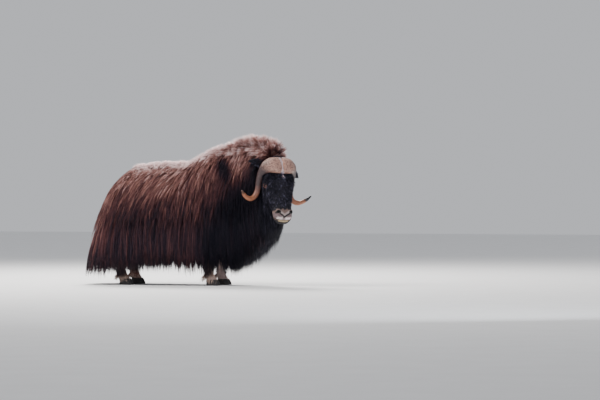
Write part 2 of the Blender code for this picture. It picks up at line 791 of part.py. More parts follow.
HORN_CLEARANCE = 0.008  # kept free round it in the hair of the neck


def horn(name, side, frame, finish):
    """A horn: half of the boss over the brow, down past the cheek, then hooked out and up."""
    rise = RIGHT_HOOK_RISE if side < 0 else 0.0
    path = []
    for i, (f, w, z, _, _) in enumerate(HORN):
        path.append(Vector((f, side * w, z + rise * min(max((i - 7) / 3, 0.0), 1.0))))
    rings = []
    for i, (_, _, _, tall, thick) in enumerate(HORN):
        way = (path[min(i + 1, len(path) - 1)] - path[max(i - 1, 0)]).normalized()
        if i < 2:
            way = Vector((0, side, 0))
        face_out = (BROW_FACING - way * way.dot(BROW_FACING)).normalized()
        upward = way.cross(face_out)
        rings.append(ellipse(path[i], face_out * thick, upward * tall, HORN_SIDES, 0.85))
    return in_frame(loft(name, rings, finish), frame)


EAR_LENGTH, EAR_WIDTH = 0.185, 0.042
EAR_ROOT = Vector((-0.140, 0.095, -0.038))
EAR_CLEARANCE = 0.004
# Place along an ear, share of its width and half thickness
EAR_RINGS = [
    (0.0, 0.55, 0.020),
    (0.25, 0.88, 0.022),
    (0.5, 1.0, 0.020),
    (0.75, 0.78, 0.014),
    (0.93, 0.36, 0.007),
    (1.0, 0.10, 0.003),
]


def ear(name, side, lift, frame, finish):
    """A leaf-shaped ear with its cup open to the front, sunk into the side of the head."""
    outer, inner = [], []
    for t, wide, thick in EAR_RINGS:
        centre = Vector((-0.012 * t * t, t * EAR_LENGTH, 0.02 * math.sin(t * math.pi)))
        outer.append(ellipse(centre, Vector((thick, 0, 0)), Vector((0, 0, EAR_WIDTH * wide)), 10))
        if t > 0.1:
            hollow = centre + Vector((thick * 0.95, 0, 0))
            broad = Vector((0, 0, EAR_WIDTH * wide * 0.70))
            inner.append(ellipse(hollow, Vector((thick * 1.15, 0, 0)), broad, 8))
    shell = loft(name, outer, finish)
    cup = loft(name + "_cup", inner)
    carved(shell, cut=[cup])
    dropped(cup)
    tilt = Matrix.Rotation(lift, 4, "X") @ Matrix.Rotation(math.radians(4), 4, "Z")
    flip = Matrix.Scale(side, 4, (0, 1, 0))
    shell.data.transform(flip @ Matrix.Translation(EAR_ROOT) @ tilt)
    if side < 0:
        shell.data.flip_normals()
    return in_frame(shell, frame)


def head_room(frame, start, low, high):
    """All the space ahead of a plane across the head's level frame, between two heights."""
    corners = ((-0.8, low), (0.8, low), (0.8, high), (-0.8, high))
    rings = [[Vector((f, y, z)) for y, z in corners] for f in (start, 1.0)]
    return in_frame(loft("head_room", rings), frame)


def eye(name, side, frame, finish):
    turn = eye_turn(side)
    made = ball(name, mirrored(EYE_AT, side), (EYE_RADIUS,) * 3, *EYE_GRAIN, turn)
    made.data.materials.append(finish)
    return in_frame(made, frame)


# The beard's core along the head: its place, upper and lower height and half width
BEARD = [
    (NECK_FACE - 0.01, -0.20, -0.62, 0.150),
    (-0.12, -0.22, -0.62, 0.135),
    (-0.06, -0.28, -0.61, 0.105),
    (-0.01, -0.36, -0.60, 0.070),
    (0.03, -0.46, -0.585, 0.035),
]
# Its locks: their place along the head, their distances to the side and the height of their tips
BEARD_ROWS = [
    (-0.125, (-0.105, 0.0, 0.105), -0.745),
    (-0.060, (-0.065, 0.065), -0.710),
    (0.005, (0.0,), -0.660),
]
BEARD_TOP = -0.46  # where they are rooted in it


def beard(name, frame, finish, draw, cut):
    """The hair under the jaw, from the neck to the chin: a keel with its locks hanging down."""
    rings = [
        ellipse(Vector((f, 0, (top + low) / 2)), Vector((0, wide, 0)), Vector((0, 0, (top - low) / 2)), 10)
        for f, top, low, wide in BEARD
    ]
    pieces = []
    for f, sides, low in BEARD_ROWS:
        for y in sides:
            reach = low + draw.uniform(-0.015, 0.015)
            path = [
                Vector((f - 0.03 * t * t, y * (1 - 0.2 * t), BEARD_TOP + (reach - BEARD_TOP) * t))
                for t in (0.0, 0.35, 0.7, 1.0)
            ]
            out = Vector((0.3, math.copysign(1.0, y) if y else 0.0, 0)).normalized()
            across = Vector((out.y, -out.x, 0))
            label = f"{name}_lock_{len(pieces)}"
            pieces.append(tuft(label, path, across, out, 0.058, 0.028, lambda p: frame @ p))
    ahead = head_room(frame, NECK_FACE + GAP, -1.3, 0.8)
    carved(in_frame(loft(name, rings, finish), frame), pieces, [ahead], cut)
    dropped(ahead)


def main():
    for old in list(bpy.data.objects):
        bpy.data.objects.remove(old)
    draw = random.Random(7)
    brown = material("long_coat", (0.075, 0.045, 0.035))
    black = material("dark_coat", (0.022, 0.018, 0.020))
    stocking = material("leg_hair", (0.40, 0.31, 0.25))
    keratin = material("horn", (0.42, 0.30, 0.19), 0.55)
    dark = material("hoof", (0.035, 0.030, 0.028), 0.5)
    wet = material("eye", (0.012, 0.008, 0.006), 0.1)
    level, skull = head_frames()

    whole = body_solid("core")
    coats = {side: coat_plan(side, draw) for side in (1, -1)}
    spans = {
        "rump": (-0.5, RUMP_JOINT),
        "haunch": (RUMP_JOINT, HAUNCH_JOINT),
        "flank": (HAUNCH_JOINT, FLANK_JOINT),
        "shoulder": (FLANK_JOINT, NECK_JOINT),
    }
    for word, (x0, x1) in spans.items():
        for label, side in (("left", 1), ("right", -1)):
            name = f"{word}_{label}"
            body_node(name, whole, x0, x1, [side], brown, locks_between(name, coats[side], x0, x1))
    for label, side in (("left", 1), ("right", -1)):
        for word, x, y, rings in LEGS:
            leg(f"leg_{word}_{label}", x, side * y, rings, stocking)
            for place, inward in (("inner", -side), ("outer", side)):
                hoof(f"hoof_{word}_{label}_{place}", x, side * y, 0.036, inward, dark)

    head = in_frame(face(black), skull)
    near = [swollen(head), head]
    clear = []
    for label, side in (("left", 1), ("right", -1)):
        made = carved(horn(f"horn_{label}", side, level, keratin), cut=near)
        clear.append(swollen(made, HORN_CLEARANCE))
        eye(f"eye_{label}", side, skull, wet)
    for label, side, lift in (("left", 1, -22), ("right", -1, 24)):
        made = ear(f"ear_{label}", side, math.radians(lift), level, black)
        carved(made, cut=near + clear[:2])
        clear.append(swollen(made, EAR_CLEARANCE))
    beard("beard", level, black, draw, near)

    clear += [head_room(level, NECK_FACE, -1.3, 0.03), head_room(level, CROWN_FACE, 0.02, 0.8)]
    locks = chest_locks("neck", draw)
    for side in (-1, 1):
        locks += locks_between("neck", coats[side], NECK_JOINT, BODY_END)
    body_node("neck", whole, NECK_JOINT, NECK_END + 0.3, [-1, 1], black, locks, near + clear)
    dropped(whole, near[0], *clear)


main()
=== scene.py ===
"""Looks of a bull muskox that stands with its head turned to its right.

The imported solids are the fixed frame. One skin takes the place of the flesh, and the coat grows
on it as solid-mesh hairs gathered in locks. Body places are first given on a straight, symmetric
animal, with x forward from behind the rump, y to its left and z up. carry() sweeps the coat back
as it falls and bends the neck to the right. Everything is in metres.
"""

import math

import bmesh
import bpy
import numpy as np
from bpy.props import FloatProperty, FloatVectorProperty, IntProperty, PointerProperty
from mathutils import Matrix, Vector
from mathutils.bvhtree import BVHTree
from mathutils.kdtree import KDTree


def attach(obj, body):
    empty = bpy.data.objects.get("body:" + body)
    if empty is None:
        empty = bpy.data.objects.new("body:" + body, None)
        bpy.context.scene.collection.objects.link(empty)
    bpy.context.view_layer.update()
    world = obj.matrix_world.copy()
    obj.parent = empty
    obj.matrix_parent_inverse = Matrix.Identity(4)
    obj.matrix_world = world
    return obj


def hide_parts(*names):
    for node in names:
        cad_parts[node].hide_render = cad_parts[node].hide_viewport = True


bl_info = {
    "name": "Muskox",
    "version": (1, 0, 0),
    "blender": (4, 5, 0),
    "location": "View3D > Sidebar > Muskox",
    "description": "Skin, coat, horns, eyes and hooves of a life-size bull muskox",
    "category": "Object",
}

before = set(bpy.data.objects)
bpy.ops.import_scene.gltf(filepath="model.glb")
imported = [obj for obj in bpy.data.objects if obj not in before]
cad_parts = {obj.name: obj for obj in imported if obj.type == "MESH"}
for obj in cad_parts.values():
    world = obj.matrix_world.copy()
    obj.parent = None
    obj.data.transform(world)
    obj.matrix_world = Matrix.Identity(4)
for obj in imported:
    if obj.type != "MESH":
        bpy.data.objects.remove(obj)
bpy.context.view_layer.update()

# Places on the straight animal, before it is centred on its origin
CENTRE_X, CENTRE_Y = 1.193, -0.051
NECK_START, NECK_LENGTH, NECK_TURN = 1.56, 0.43, math.radians(34)
NECK_END = NECK_START + NECK_LENGTH
BODY_END = NECK_END + 0.15
NECK_RADIUS = NECK_LENGTH / NECK_TURN
SWEEP, SWEEP_END_Z = 0.31, 0.45
FAN_X, FAN_REACH, FAN_FLARE, FAN_RADIUS = 0.62, 0.175, 0.10, 0.27
FAN_END = -FAN_RADIUS * math.pi / 2
BELLY_Z, THROAT_Z = 0.52, 0.66
LEGS = {"fore": (1.34, 0.15), "hind": (0.43, 0.15)}

# The head's level frame and the skull within it
HEAD_FORWARD, HEAD_TURN, HEAD_Z = 0.20, math.radians(44), 1.158
HEAD_PITCH, HEAD_ROLL = math.radians(70), math.radians(-2.5)
BOSS_PITCH, BOSS_RISE = math.radians(58), 0.05
EYE_RADIUS = 0.021
EYE_AT = Vector((0.172, 0.139, -0.050))
EYE_LOOK = Vector((0.18, 0.84, 0.50)).normalized()
HEAD_PELT = 0.004  # from the tips of the face's short hair down to its skin


class MuskoxCoat(bpy.types.PropertyGroup):
    """How the hair is laid."""

    seed: IntProperty(name="Seed", description="Start of every random draw", default=5, min=0)
    lock_pitch: FloatProperty(
        name="Lock spacing", description="Along the body, between locks", default=0.024, unit="LENGTH"
    )
    lock_row: FloatProperty(
        name="Row spacing", description="Down the body, between rows of locks", default=0.032, unit="LENGTH"
    )
    hairs: IntProperty(name="Hairs in a lock", description="Strands gathered in one lock", default=7, min=3)
    hair_width: FloatProperty(
        name="Hair width", description="Half width of a strand of the long coat", default=0.0030, unit="LENGTH"
    )
    fur_pitch: FloatProperty(
        name="Face fur spacing", description="Between the short tufts of the face", default=0.0054, unit="LENGTH"
    )
    leg_pitch: FloatProperty(
        name="Leg fur spacing", description="Between the short tufts of the legs", default=0.0078, unit="LENGTH"
    )


class MuskoxColours(bpy.types.PropertyGroup):
    """Colours of the coat from dark to pale, and of what has no hair."""

    black: FloatVectorProperty(
        name="Black", description="Face and throat", subtype="COLOR", default=(0.0019, 0.0016, 0.0076)
    )
    dusk: FloatVectorProperty(
        name="Dusk", description="Lower coat", subtype="COLOR", default=(0.021, 0.0108, 0.0195)
    )
    brown: FloatVectorProperty(
        name="Brown", description="Upper coat", subtype="COLOR", default=(0.108, 0.040, 0.041)
    )
    russet: FloatVectorProperty(
        name="Russet", description="Bleached locks", subtype="COLOR", default=(0.36, 0.165, 0.138)
    )
    cream: FloatVectorProperty(
        name="Cream", description="Saddle and palest tips", subtype="COLOR", default=(0.97, 0.765, 0.76)
    )
    # Sheen is partly painted: the bluish gloss of the dark hair, given as a colour to its paler tufts.
    sheen: FloatVectorProperty(
        name="Sheen", description="Paler tufts of the face and throat", subtype="COLOR", default=(0.050, 0.047, 0.072)
    )
    horn: FloatVectorProperty(
        name="Horn", description="Boss of the horns", subtype="COLOR", default=(0.405, 0.235, 0.185)
    )
    amber: FloatVectorProperty(
        name="Amber", description="Hooks of the horns", subtype="COLOR", default=(0.325, 0.120, 0.060)
    )
    stocking: FloatVectorProperty(
        name="Stocking", description="Short hair of the legs", subtype="COLOR", default=(0.52, 0.375, 0.31)
    )


class MuskoxStage(bpy.types.PropertyGroup):
    """Camera and light."""

    azimuth: FloatProperty(
        name="Azimuth", description="Of the camera round the animal", subtype="ANGLE", default=math.radians(20)
    )
    elevation: FloatProperty(
        name="Elevation", description="Of the camera", subtype="ANGLE", default=math.radians(0.3)
    )
    distance: FloatProperty(name="Distance", description="To the camera", default=30.0, unit="LENGTH")
    view_width: FloatProperty(
        name="View width", description="Of the picture at the animal", default=5.83, unit="LENGTH"
    )


def profile(*points):
    """A smooth curve through (place, value) pairs, level at both ends and never overshooting."""
    xs, ys = np.array(points, float).T
    steps = np.diff(ys) / np.diff(xs)
    slopes = np.zeros(len(xs))
    slopes[0], slopes[-1] = steps[0], steps[-1]
    product = steps[:-1] * steps[1:]
    both = np.where(product > 0, steps[:-1] + steps[1:], 1.0)
    slopes[1:-1] = np.where(product > 0, 2 * product / both, 0.0)

    def value(x):
        x = np.clip(x, xs[0], xs[-1])
        i = np.clip(np.searchsorted(xs, x, side="right") - 1, 0, len(xs) - 2)
        width = xs[i + 1] - xs[i]
        t = (x - xs[i]) / width
        return (
            ys[i] * (1 + 2 * t) * (1 - t) ** 2
            + ys[i + 1] * t * t * (3 - 2 * t)
            + width * (slopes[i] * t * (1 - t) ** 2 - slopes[i + 1] * t * t * (1 - t))
        )

    return value


# The coat's outer surface along the straight body
ridge_z = profile(
    (0.62, 1.185), (0.90, 1.212), (1.10, 1.212), (1.22, 1.268), (1.34, 1.328), (1.48, 1.362),
    (1.62, 1.388), (1.74, 1.412), (1.88, 1.405), (2.00, 1.368), (2.08, 1.335), (2.14, 1.265),
)
widest_z = profile((0.62, 0.84), (1.10, 0.86), (1.50, 0.94), (2.05, 1.00))
half_width = profile(
    (0.62, 0.335), (0.95, 0.375), (1.30, 0.370), (1.60, 0.325), (1.85, 0.270), (2.0, 0.240), (2.14, 0.190)
)
hem_z = profile(
    (0.62, 0.165), (0.95, 0.185), (1.20, 0.205), (1.50, 0.165), (1.68, 0.175), (1.80, 0.20),
    (1.93, 0.26), (2.05, 0.355), (2.15, 0.42),
)
hem_share = profile((0.62, 0.97), (1.30, 0.93), (1.55, 0.86), (1.80, 0.60), (2.05, 0.42))
sweep_share = profile((1.00, 1.0), (1.50, 0.75), (2.05, 0.25))
crest_depth = profile((1.00, 0.050), (1.35, 0.10), (1.60, 0.13), (2.05, 0.12))
crest_rise = profile((1.06, 0.004), (1.35, 0.010), (1.55, 0.022), (1.72, 0.042), (2.0, 0.042), (2.14, 0.034))
FLANK_DEPTH, SKIRT_DEPTH = 0.085, 0.10


def smooth(low, high, value):
    """0 below low, 1 above high and an even curve between."""
    t = np.clip((value - low) / (high - low), 0.0, 1.0)
    return t * t * (3 - 2 * t)


def unit(vectors):
    return vectors / np.maximum(np.linalg.norm(vectors, axis=-1, keepdims=True), 1e-9)


def carry(points):
    """Takes points of the straight animal to their places in the standing one."""
    x, y, z = np.moveaxis(np.asarray(points, float), -1, 0)
    fall = np.clip((z - SWEEP_END_Z) / (ridge_z(x) - SWEEP_END_Z), 0.0, 1.0)
    x = x - SWEEP * sweep_share(x) * (1 - fall * fall)
    turn = np.clip(x - NECK_START, 0.0, NECK_LENGTH) / NECK_RADIUS
    past = np.maximum(x - NECK_START - NECK_LENGTH, 0.0)
    before = np.minimum(x - NECK_START, 0.0)
    out_x = NECK_START + NECK_RADIUS * np.sin(turn) + np.cos(turn) * past + np.sin(turn) * y + before
    out_y = -NECK_RADIUS * (1 - np.cos(turn)) - np.sin(turn) * past + np.cos(turn) * y
    return np.stack([out_x - CENTRE_X, out_y - CENTRE_Y, z], axis=-1)


def straighten(points):
    """Undoes the bend of the neck, but not the sweep: x along the spine, y from it, z."""
    x, y, z = points[..., 0] + CENTRE_X, points[..., 1] + CENTRE_Y, points[..., 2]
    across, ahead = y + NECK_RADIUS, x - NECK_START
    angle = np.clip(np.arctan2(ahead, across), 0.0, NECK_TURN)
    past = ahead * np.cos(angle) - across * np.sin(angle)
    out = ahead * np.sin(angle) + across * np.cos(angle) - NECK_RADIUS
    return np.stack([NECK_START + angle * NECK_RADIUS + past, out, z], axis=-1)


def coat_base(side, a, v):
    """Points of the coat's outer surface on the straight animal.

    a runs forward along the flank in metres from the rump's fan, and is negative round the rump.
    v is 0 on the ridge of the back, 1 at the widest and 2 at the hem.
    """
    x = FAN_X + np.maximum(a, 0.0)
    angle = np.minimum(a, 0.0) / FAN_RADIUS
    high, middle, low = ridge_z(x), widest_z(x), hem_z(x)
    out = np.sin(np.clip(v, 0.0, 1.0) * np.pi / 2)
    under = np.maximum(v - 1, 0.0)
    z = middle + (high - middle) * np.cos(np.clip(v, 0.0, 1.0) * np.pi / 2) + (low - middle) * under
    wide = half_width(x) * out * (1 + (hem_share(x) - 1) * under**1.5)
    rear = FAN_REACH * out + FAN_FLARE * under
    return np.stack([x + rear * np.sin(angle), side * wide * np.cos(angle), z], axis=-1)


def coat_point(side, a, v, out):
    """Points out metres outside the coat's surface, or inside where out is negative."""
    step = 0.004
    here = coat_base(side, a, v)
    v = np.maximum(v, step * 1.01)
    along = coat_base(side, a + step, v) - coat_base(side, a - step, v)
    down = coat_base(side, a, v + step) - coat_base(side, a, v - step)
    normal = unit(np.cross(along, down)) * side
    return here + normal * np.asarray(out)[..., None]


def coat_depth(x, v):
    """The coat's thickness, from the skin to the tips."""
    top = crest_depth(x)
    upper = top + (FLANK_DEPTH - top) * np.sin(np.clip(v, 0.0, 1.0) * np.pi / 2)
    return np.where(v <= 1, upper, FLANK_DEPTH + (SKIRT_DEPTH - FLANK_DEPTH) * (v - 1))


def under_z(x):
    """The flat underside of the flesh, rising from the belly to the throat."""
    rise = np.clip((x - 1.72) / (NECK_END - 1.72), 0.0, 1.0)
    return BELLY_Z + (THROAT_Z - BELLY_Z) * rise * rise


def v_of_z(x, z):
    """The coat coordinate below the widest line that lies at height z."""
    return 1 + (widest_z(x) - z) / (widest_z(x) - hem_z(x))


def head_frames():
    """The head's level frame, at the front of the boss, and the skull's frame, along the face."""
    tip_x = NECK_START + NECK_RADIUS * math.sin(NECK_TURN) - CENTRE_X
    tip_y = -NECK_RADIUS * (1 - math.cos(NECK_TURN)) - CENTRE_Y
    way = (NECK_TURN + HEAD_TURN) / 2
    place = Vector((tip_x, tip_y, HEAD_Z)) + Vector((math.cos(way), -math.sin(way), 0.0)) * HEAD_FORWARD
    heading = Matrix.Rotation(-HEAD_TURN, 4, "Z")
    level = Matrix.Translation(place) @ heading @ Matrix.Rotation(HEAD_ROLL, 4, "X")
    skull = level @ Matrix.Rotation(HEAD_PITCH, 4, "Y") @ Matrix.Translation((0, 0, -BOSS_RISE))
    return level, skull


LEVEL, SKULL = head_frames()


def into(matrix, points):
    """Points of the scene in a frame of the head."""
    back = np.array(matrix.inverted())
    return points @ back[:3, :3].T + back[:3, 3]


def out_of(matrix, points):
    """Points of a frame of the head in the scene."""
    there = np.array(matrix)
    return points @ there[:3, :3].T + there[:3, 3]


def turned(matrix, vectors):
    return vectors @ np.array(matrix)[:3, :3].T


# Markings, with painted rim light and a painted shadow among them: how pale the coat is at a place, from 0 for black
# to 1 for cream
mane_pale = profile((1.15, 0.05), (1.40, 0.12), (1.62, 0.12), (1.80, 0.07), (1.95, 0.07), (2.10, 0.03))


def body_tone(points):
    """Tone of the body's coat at points of the scene."""
    x, y, z = np.moveaxis(straighten(points), -1, 0)
    fall = ridge_z(x) - z
    tone = 0.62 - 0.34 * smooth(0.14, 0.60, fall) - 0.06 * smooth(0.6, 1.0, fall)
    saddle = smooth(0.30, 0.68, x) * (1 - smooth(1.25, 1.42, x)) * (1 - smooth(0.020, 0.14, fall))
    # The rim term is painted light: the top of the hump is made paler, as if lit from behind.
    rim = smooth(1.15, 1.30, x) * (1 - smooth(1.42, 1.60, x)) * (1 - smooth(0.0, 0.08, fall))
    tone = tone + 0.40 * saddle + 0.28 * rim
    tone = tone + mane_pale(x) * smooth(1.15, 1.4, x) * (1 - smooth(0.06, 0.26, fall))
    # A painted shadow: a dark diagonal streak in front of the hump, where the mane's collar shades the shoulder.
    across, along = x - 1.52 - 0.35 * (fall - 0.2), fall - 0.24
    painted_collar_shadow = np.exp(-((across / 0.075) ** 2) - (along / 0.13) ** 2)
    collar = np.exp(-(((x - 1.70) / 0.10) ** 2) - ((z - 1.10) / 0.16) ** 2)
    gorge = smooth(1.50, 1.97, x + 0.40 * smooth(0.35, 0.85, fall))
    tone = tone - 0.36 * gorge * smooth(0.24, 0.62, fall) - 0.50 * painted_collar_shadow + 0.10 * collar
    tone = tone + 0.07 * np.exp(-(((x - 1.28) / 0.2) ** 2)) * smooth(0.40, 0.52, fall)
    tone = tone + 0.07 * np.exp(-(((x - 0.95) / 0.17) ** 2) - ((fall - 0.27) / 0.11) ** 2)
    # The rear term is painted light: the rear edge of the rump is made paler, as if lit from behind.
    rear = (1 - smooth(0.20, 0.46, x)) * smooth(0.2, 0.45, z) * (1 - smooth(0.85, 1.0, z))
    return np.clip(tone + 0.22 * rear, 0.0, 1.0)


def head_tone(points):
    """Tone of the hair of the head at points of the scene."""
    x, y, z = np.moveaxis(into(SKULL, points), -1, 0)
    patch = np.exp(-(((x - 0.098) / 0.026) ** 2) - ((y - 0.012) / 0.016) ** 2)
    sheen = 0.10 * np.exp(-((y / 0.035) ** 2)) * smooth(0.10, 0.18, x) * (1 - smooth(0.26, 0.36, x))
    crown = 0.12 * (1 - smooth(-0.08, -0.02, x)) * (1 - smooth(0.09, 0.12, np.abs(y)))
    return np.clip(0.06 + 0.80 * patch + sheen + crown, 0.0, 1.0)


def hide_tone(points):
    """Tone of the whole skin: the head's on the head and the body's behind it."""
    level = into(LEVEL, points)
    ahead = level[..., 0]
    share = smooth(-0.25, -0.16, ahead) * (1 - smooth(0.025, 0.085, level[..., 2]))
    low = 1 - smooth(0.50, 0.75, points[..., 2])
    share = np.maximum(share, low * smooth(-0.40, -0.20, ahead))
    return body_tone(points) * (1 - share) + head_tone(points) * share


# The second of these colours is a painted highlight along the rims of the nostrils.
TAN, PAINTED_NOSTRIL_HIGHLIGHT, LIP, MAUVE = (0.17, 0.110, 0.095), (0.36, 0.285, 0.275), (0.66, 0.56, 0.56), (0.16, 0.110, 0.115)
OLIVE, CHIN = (0.085, 0.065, 0.030), (0.44, 0.33, 0.20)
NOSTRIL_BLACK, LID_RED = (0.004, 0.004, 0.005), (0.15, 0.070, 0.068)
MOUTH_CORNER, MOUTH_FRONT = Vector((0.405, 0.0, -0.120)), Vector((0.515, 0.0, -0.058))


def below_mouth(x, z):
    """How far points of the skull's frame lie below the line of the mouth."""
    way = (MOUTH_FRONT - MOUTH_CORNER).normalized()
    return (x - MOUTH_CORNER.x) * way.z - (z - MOUTH_CORNER.z) * way.x


def nose_drift(x):
    """How far the muzzle leans to the left of the skull's middle."""
    return 0.012 * smooth(0.26, 0.46, x)


def muzzle_tint(points):
    """Colour of the hairless or pale-haired nose, lips and eyelids, and how much of it shows."""
    x, y, z = np.moveaxis(into(SKULL, points), -1, 0)
    y = y - nose_drift(x)
    side = np.abs(y)
    below = below_mouth(x, z)
    valley = x - (0.493 - 0.60 * side)
    colour = np.zeros(points.shape[:-1] + (4,))

    def paint(rgb, share):
        share = np.clip(share, 0.0, 1.0)[..., None]
        colour[..., :3] = colour[..., :3] * (1 - share) + np.array(rgb) * share
        colour[..., 3:] = np.maximum(colour[..., 3:], share)

    ragged = 0.006 * np.sin(130 * y + 40 * x) + 0.004 * np.sin(310 * y)
    front = smooth(-0.125, -0.075, z)
    paint(TAN, smooth(0.412, 0.432, x + ragged) * front * (1 - smooth(0.0, 0.02, below)))
    # A painted highlight: a pale line just above the black V of the nostrils.
    rim = (1 - smooth(0.006, 0.020, np.abs(valley + 0.016))) * (1 - smooth(0.050, 0.075, side))
    paint(PAINTED_NOSTRIL_HIGHLIGHT, rim * front * smooth(0.425, 0.44, x) * (1 - smooth(0.0, 0.01, below)))
    upper = smooth(0.007, 0.013, valley) * (1 - smooth(-0.003, 0.0, below)) * smooth(0.43, 0.455, x)
    paint(MAUVE, upper)
    lip = (1 - smooth(0.064, 0.082, side)) * smooth(-0.046, -0.026, below) * smooth(0.445, 0.475, x)
    paint(LIP, upper * lip * (0.25 + 0.75 * smooth(0.006, 0.024, side)))
    lower = smooth(-0.001, 0.002, below) * smooth(0.485, 0.505, x + 0.1 * side)
    paint(CHIN, lower * (1 - smooth(0.014, 0.024, below)) * (1 - smooth(0.045, 0.06, side)))
    paint(OLIVE, (1 - smooth(0.0015, 0.004, np.abs(below))) * smooth(0.44, 0.47, x))
    stroke = (1 - smooth(0.006, 0.0105, np.abs(valley))) * (side < 0.070) * smooth(-0.085, -0.07, z)
    paint(NOSTRIL_BLACK, stroke)
    hollow = np.sqrt(((x - 0.449) / 0.0155) ** 2 + ((side - 0.066) / 0.023) ** 2)
    paint(NOSTRIL_BLACK, 1 - smooth(0.85, 1.15, hollow + 20 * np.maximum(-0.06 - z, 0)))
    eye = np.sqrt((x - EYE_AT.x) ** 2 + (side - EYE_AT.y) ** 2 + (z - EYE_AT.z) ** 2)
    paint(LID_RED, 1 - smooth(EYE_RADIUS + 0.007, EYE_RADIUS + 0.014, eye))
    return colour


def plain_mesh(name, points, faces, uv=None, values=None, colours=None):
    """A mesh from arrays: triangles, with a UV for each corner and numbers or colours for each point."""
    mesh = bpy.data.meshes.new(name)
    mesh.vertices.add(len(points))
    mesh.vertices.foreach_set("co", np.ascontiguousarray(points, np.float32).ravel())
    mesh.loops.add(faces.size)
    mesh.loops.foreach_set("vertex_index", np.ascontiguousarray(faces, np.int32).ravel())
    mesh.polygons.add(len(faces))
    mesh.polygons.foreach_set("loop_start", np.arange(0, faces.size, 3, dtype=np.int32))
    mesh.update(calc_edges=True)
    if uv is not None:
        layer = mesh.uv_layers.new(name="OFBake")
        layer.uv.foreach_set("vector", np.ascontiguousarray(uv[faces.ravel()], np.float32).ravel())
    for key, array in (values or {}).items():
        mesh.attributes.new(key, "FLOAT", "POINT").data.foreach_set("value", array.astype(np.float32))
    for key, array in (colours or {}).items():
        layer = mesh.attributes.new(key, "FLOAT_COLOR", "POINT")
        layer.data.foreach_set("color", np.ascontiguousarray(array, np.float32).ravel())
    return mesh


def picked(*objects):
    """Selects only these objects, the first of them active."""
    bpy.ops.object.select_all(action="DESELECT")
    for obj in objects:
        obj.select_set(True)
    bpy.context.view_layer.objects.active = objects[0]


def applied(obj):
    """Applies every modifier of obj in order."""
    picked(obj)
    for modifier in list(obj.modifiers):
        bpy.ops.object.modifier_apply(modifier=modifier.name)
    return obj


def mesh_arrays(mesh):
    """Points, triangles and point normals of a mesh."""
    mesh.calc_loop_triangles()
    points = np.empty(len(mesh.vertices) * 3, np.float32)
    mesh.vertices.foreach_get("co", points)
    faces = np.empty(len(mesh.loop_triangles) * 3, np.int32)
    mesh.loop_triangles.foreach_get("vertices", faces)
    normals = np.empty(len(mesh.vertices) * 3, np.float32)
    mesh.vertices.foreach_get("normal", normals)
    return points.reshape(-1, 3).astype(float), faces.reshape(-1, 3), normals.reshape(-1, 3).astype(float)


def closed(name, points, faces, matrix=None):
    """An object from points and faces of any sides, closed, with its doubles merged and faces outwards."""
    mesh = bpy.data.meshes.new(name)
    mesh.from_pydata([tuple(p) for p in points], [], faces)
    work = bmesh.new()
    work.from_mesh(mesh)
    bmesh.ops.remove_doubles(work, verts=work.verts, dist=1e-5)
    bmesh.ops.dissolve_degenerate(work, edges=work.edges, dist=1e-6)
    bmesh.ops.triangulate(work, faces=[f for f in work.faces if len(f.verts) > 4])
    bmesh.ops.recalc_face_normals(work, faces=work.faces)
    if work.calc_volume(signed=True) < 0:
        bmesh.ops.reverse_faces(work, faces=work.faces)
    work.to_mesh(mesh)
    work.free()
    if matrix:
        mesh.transform(matrix)
    made = bpy.data.objects.new(name, mesh)
    bpy.context.scene.collection.objects.link(made)
    return made


def loft(name, rings, matrix=None):
    """A closed form through rings of equally many points, with both ends capped."""
    count = len(rings[0])
    points = [p for ring in rings for p in ring]
    faces = [tuple(range(count)), tuple(len(points) - 1 - k for k in range(count))]
    for i in range(len(rings) - 1):
        for k in range(count):
            a, b = i * count + k, i * count + (k + 1) % count
            faces.append((a, b, b + count, a + count))
    return closed(name, points, faces, matrix)


def ellipse(centre, across, along, count, squareness=1.0):
    """A ring of points round centre, given its two half-axes as vectors."""
    ring = []
    for k in range(count):
        angle = 2 * math.pi * k / count
        c, s = math.cos(angle), math.sin(angle)
        c = math.copysign(abs(c) ** squareness, c)
        s = math.copysign(abs(s) ** squareness, s)
        ring.append(centre + across * c + along * s)
    return ring


def ball(name, centre, radii, turn=None, rings=16, sides=28):
    """An ellipsoid, as latitude rings between two poles, in the skull's frame."""
    bpy.ops.object.select_all(action="DESELECT")
    bpy.ops.mesh.primitive_uv_sphere_add(segments=sides, ring_count=rings, radius=1.0)
    made = bpy.context.object
    made.name = name
    size = Matrix.Diagonal((*radii, 1.0))
    way = turn.to_4x4() if turn else Matrix.Identity(4)
    made.data.transform(SKULL @ Matrix.Translation(centre) @ way @ size)
    return made


def fused(obj, add=(), cut=()):
    """Joins the closed pieces of add to obj, cuts those of cut from it, and removes both."""
    for operation, tools in (("UNION", add), ("DIFFERENCE", cut)):
        for tool in tools:
            step = obj.modifiers.new("step", "BOOLEAN")
            step.operation, step.solver, step.object = operation, "MANIFOLD", tool
    applied(obj)
    for tool in (*add, *cut):
        bpy.data.objects.remove(tool)
    return obj


def mirrored(p, side):
    return Vector((p.x, p.y * side, p.z))


def eye_turn(side):
    """The eye's own frame: x towards the nose, z out of the eye."""
    look = mirrored(EYE_LOOK, side)
    ahead = (Vector((1, 0, 0)) - look * look.x).normalized()
    return Matrix((ahead, look.cross(ahead), look)).transposed()


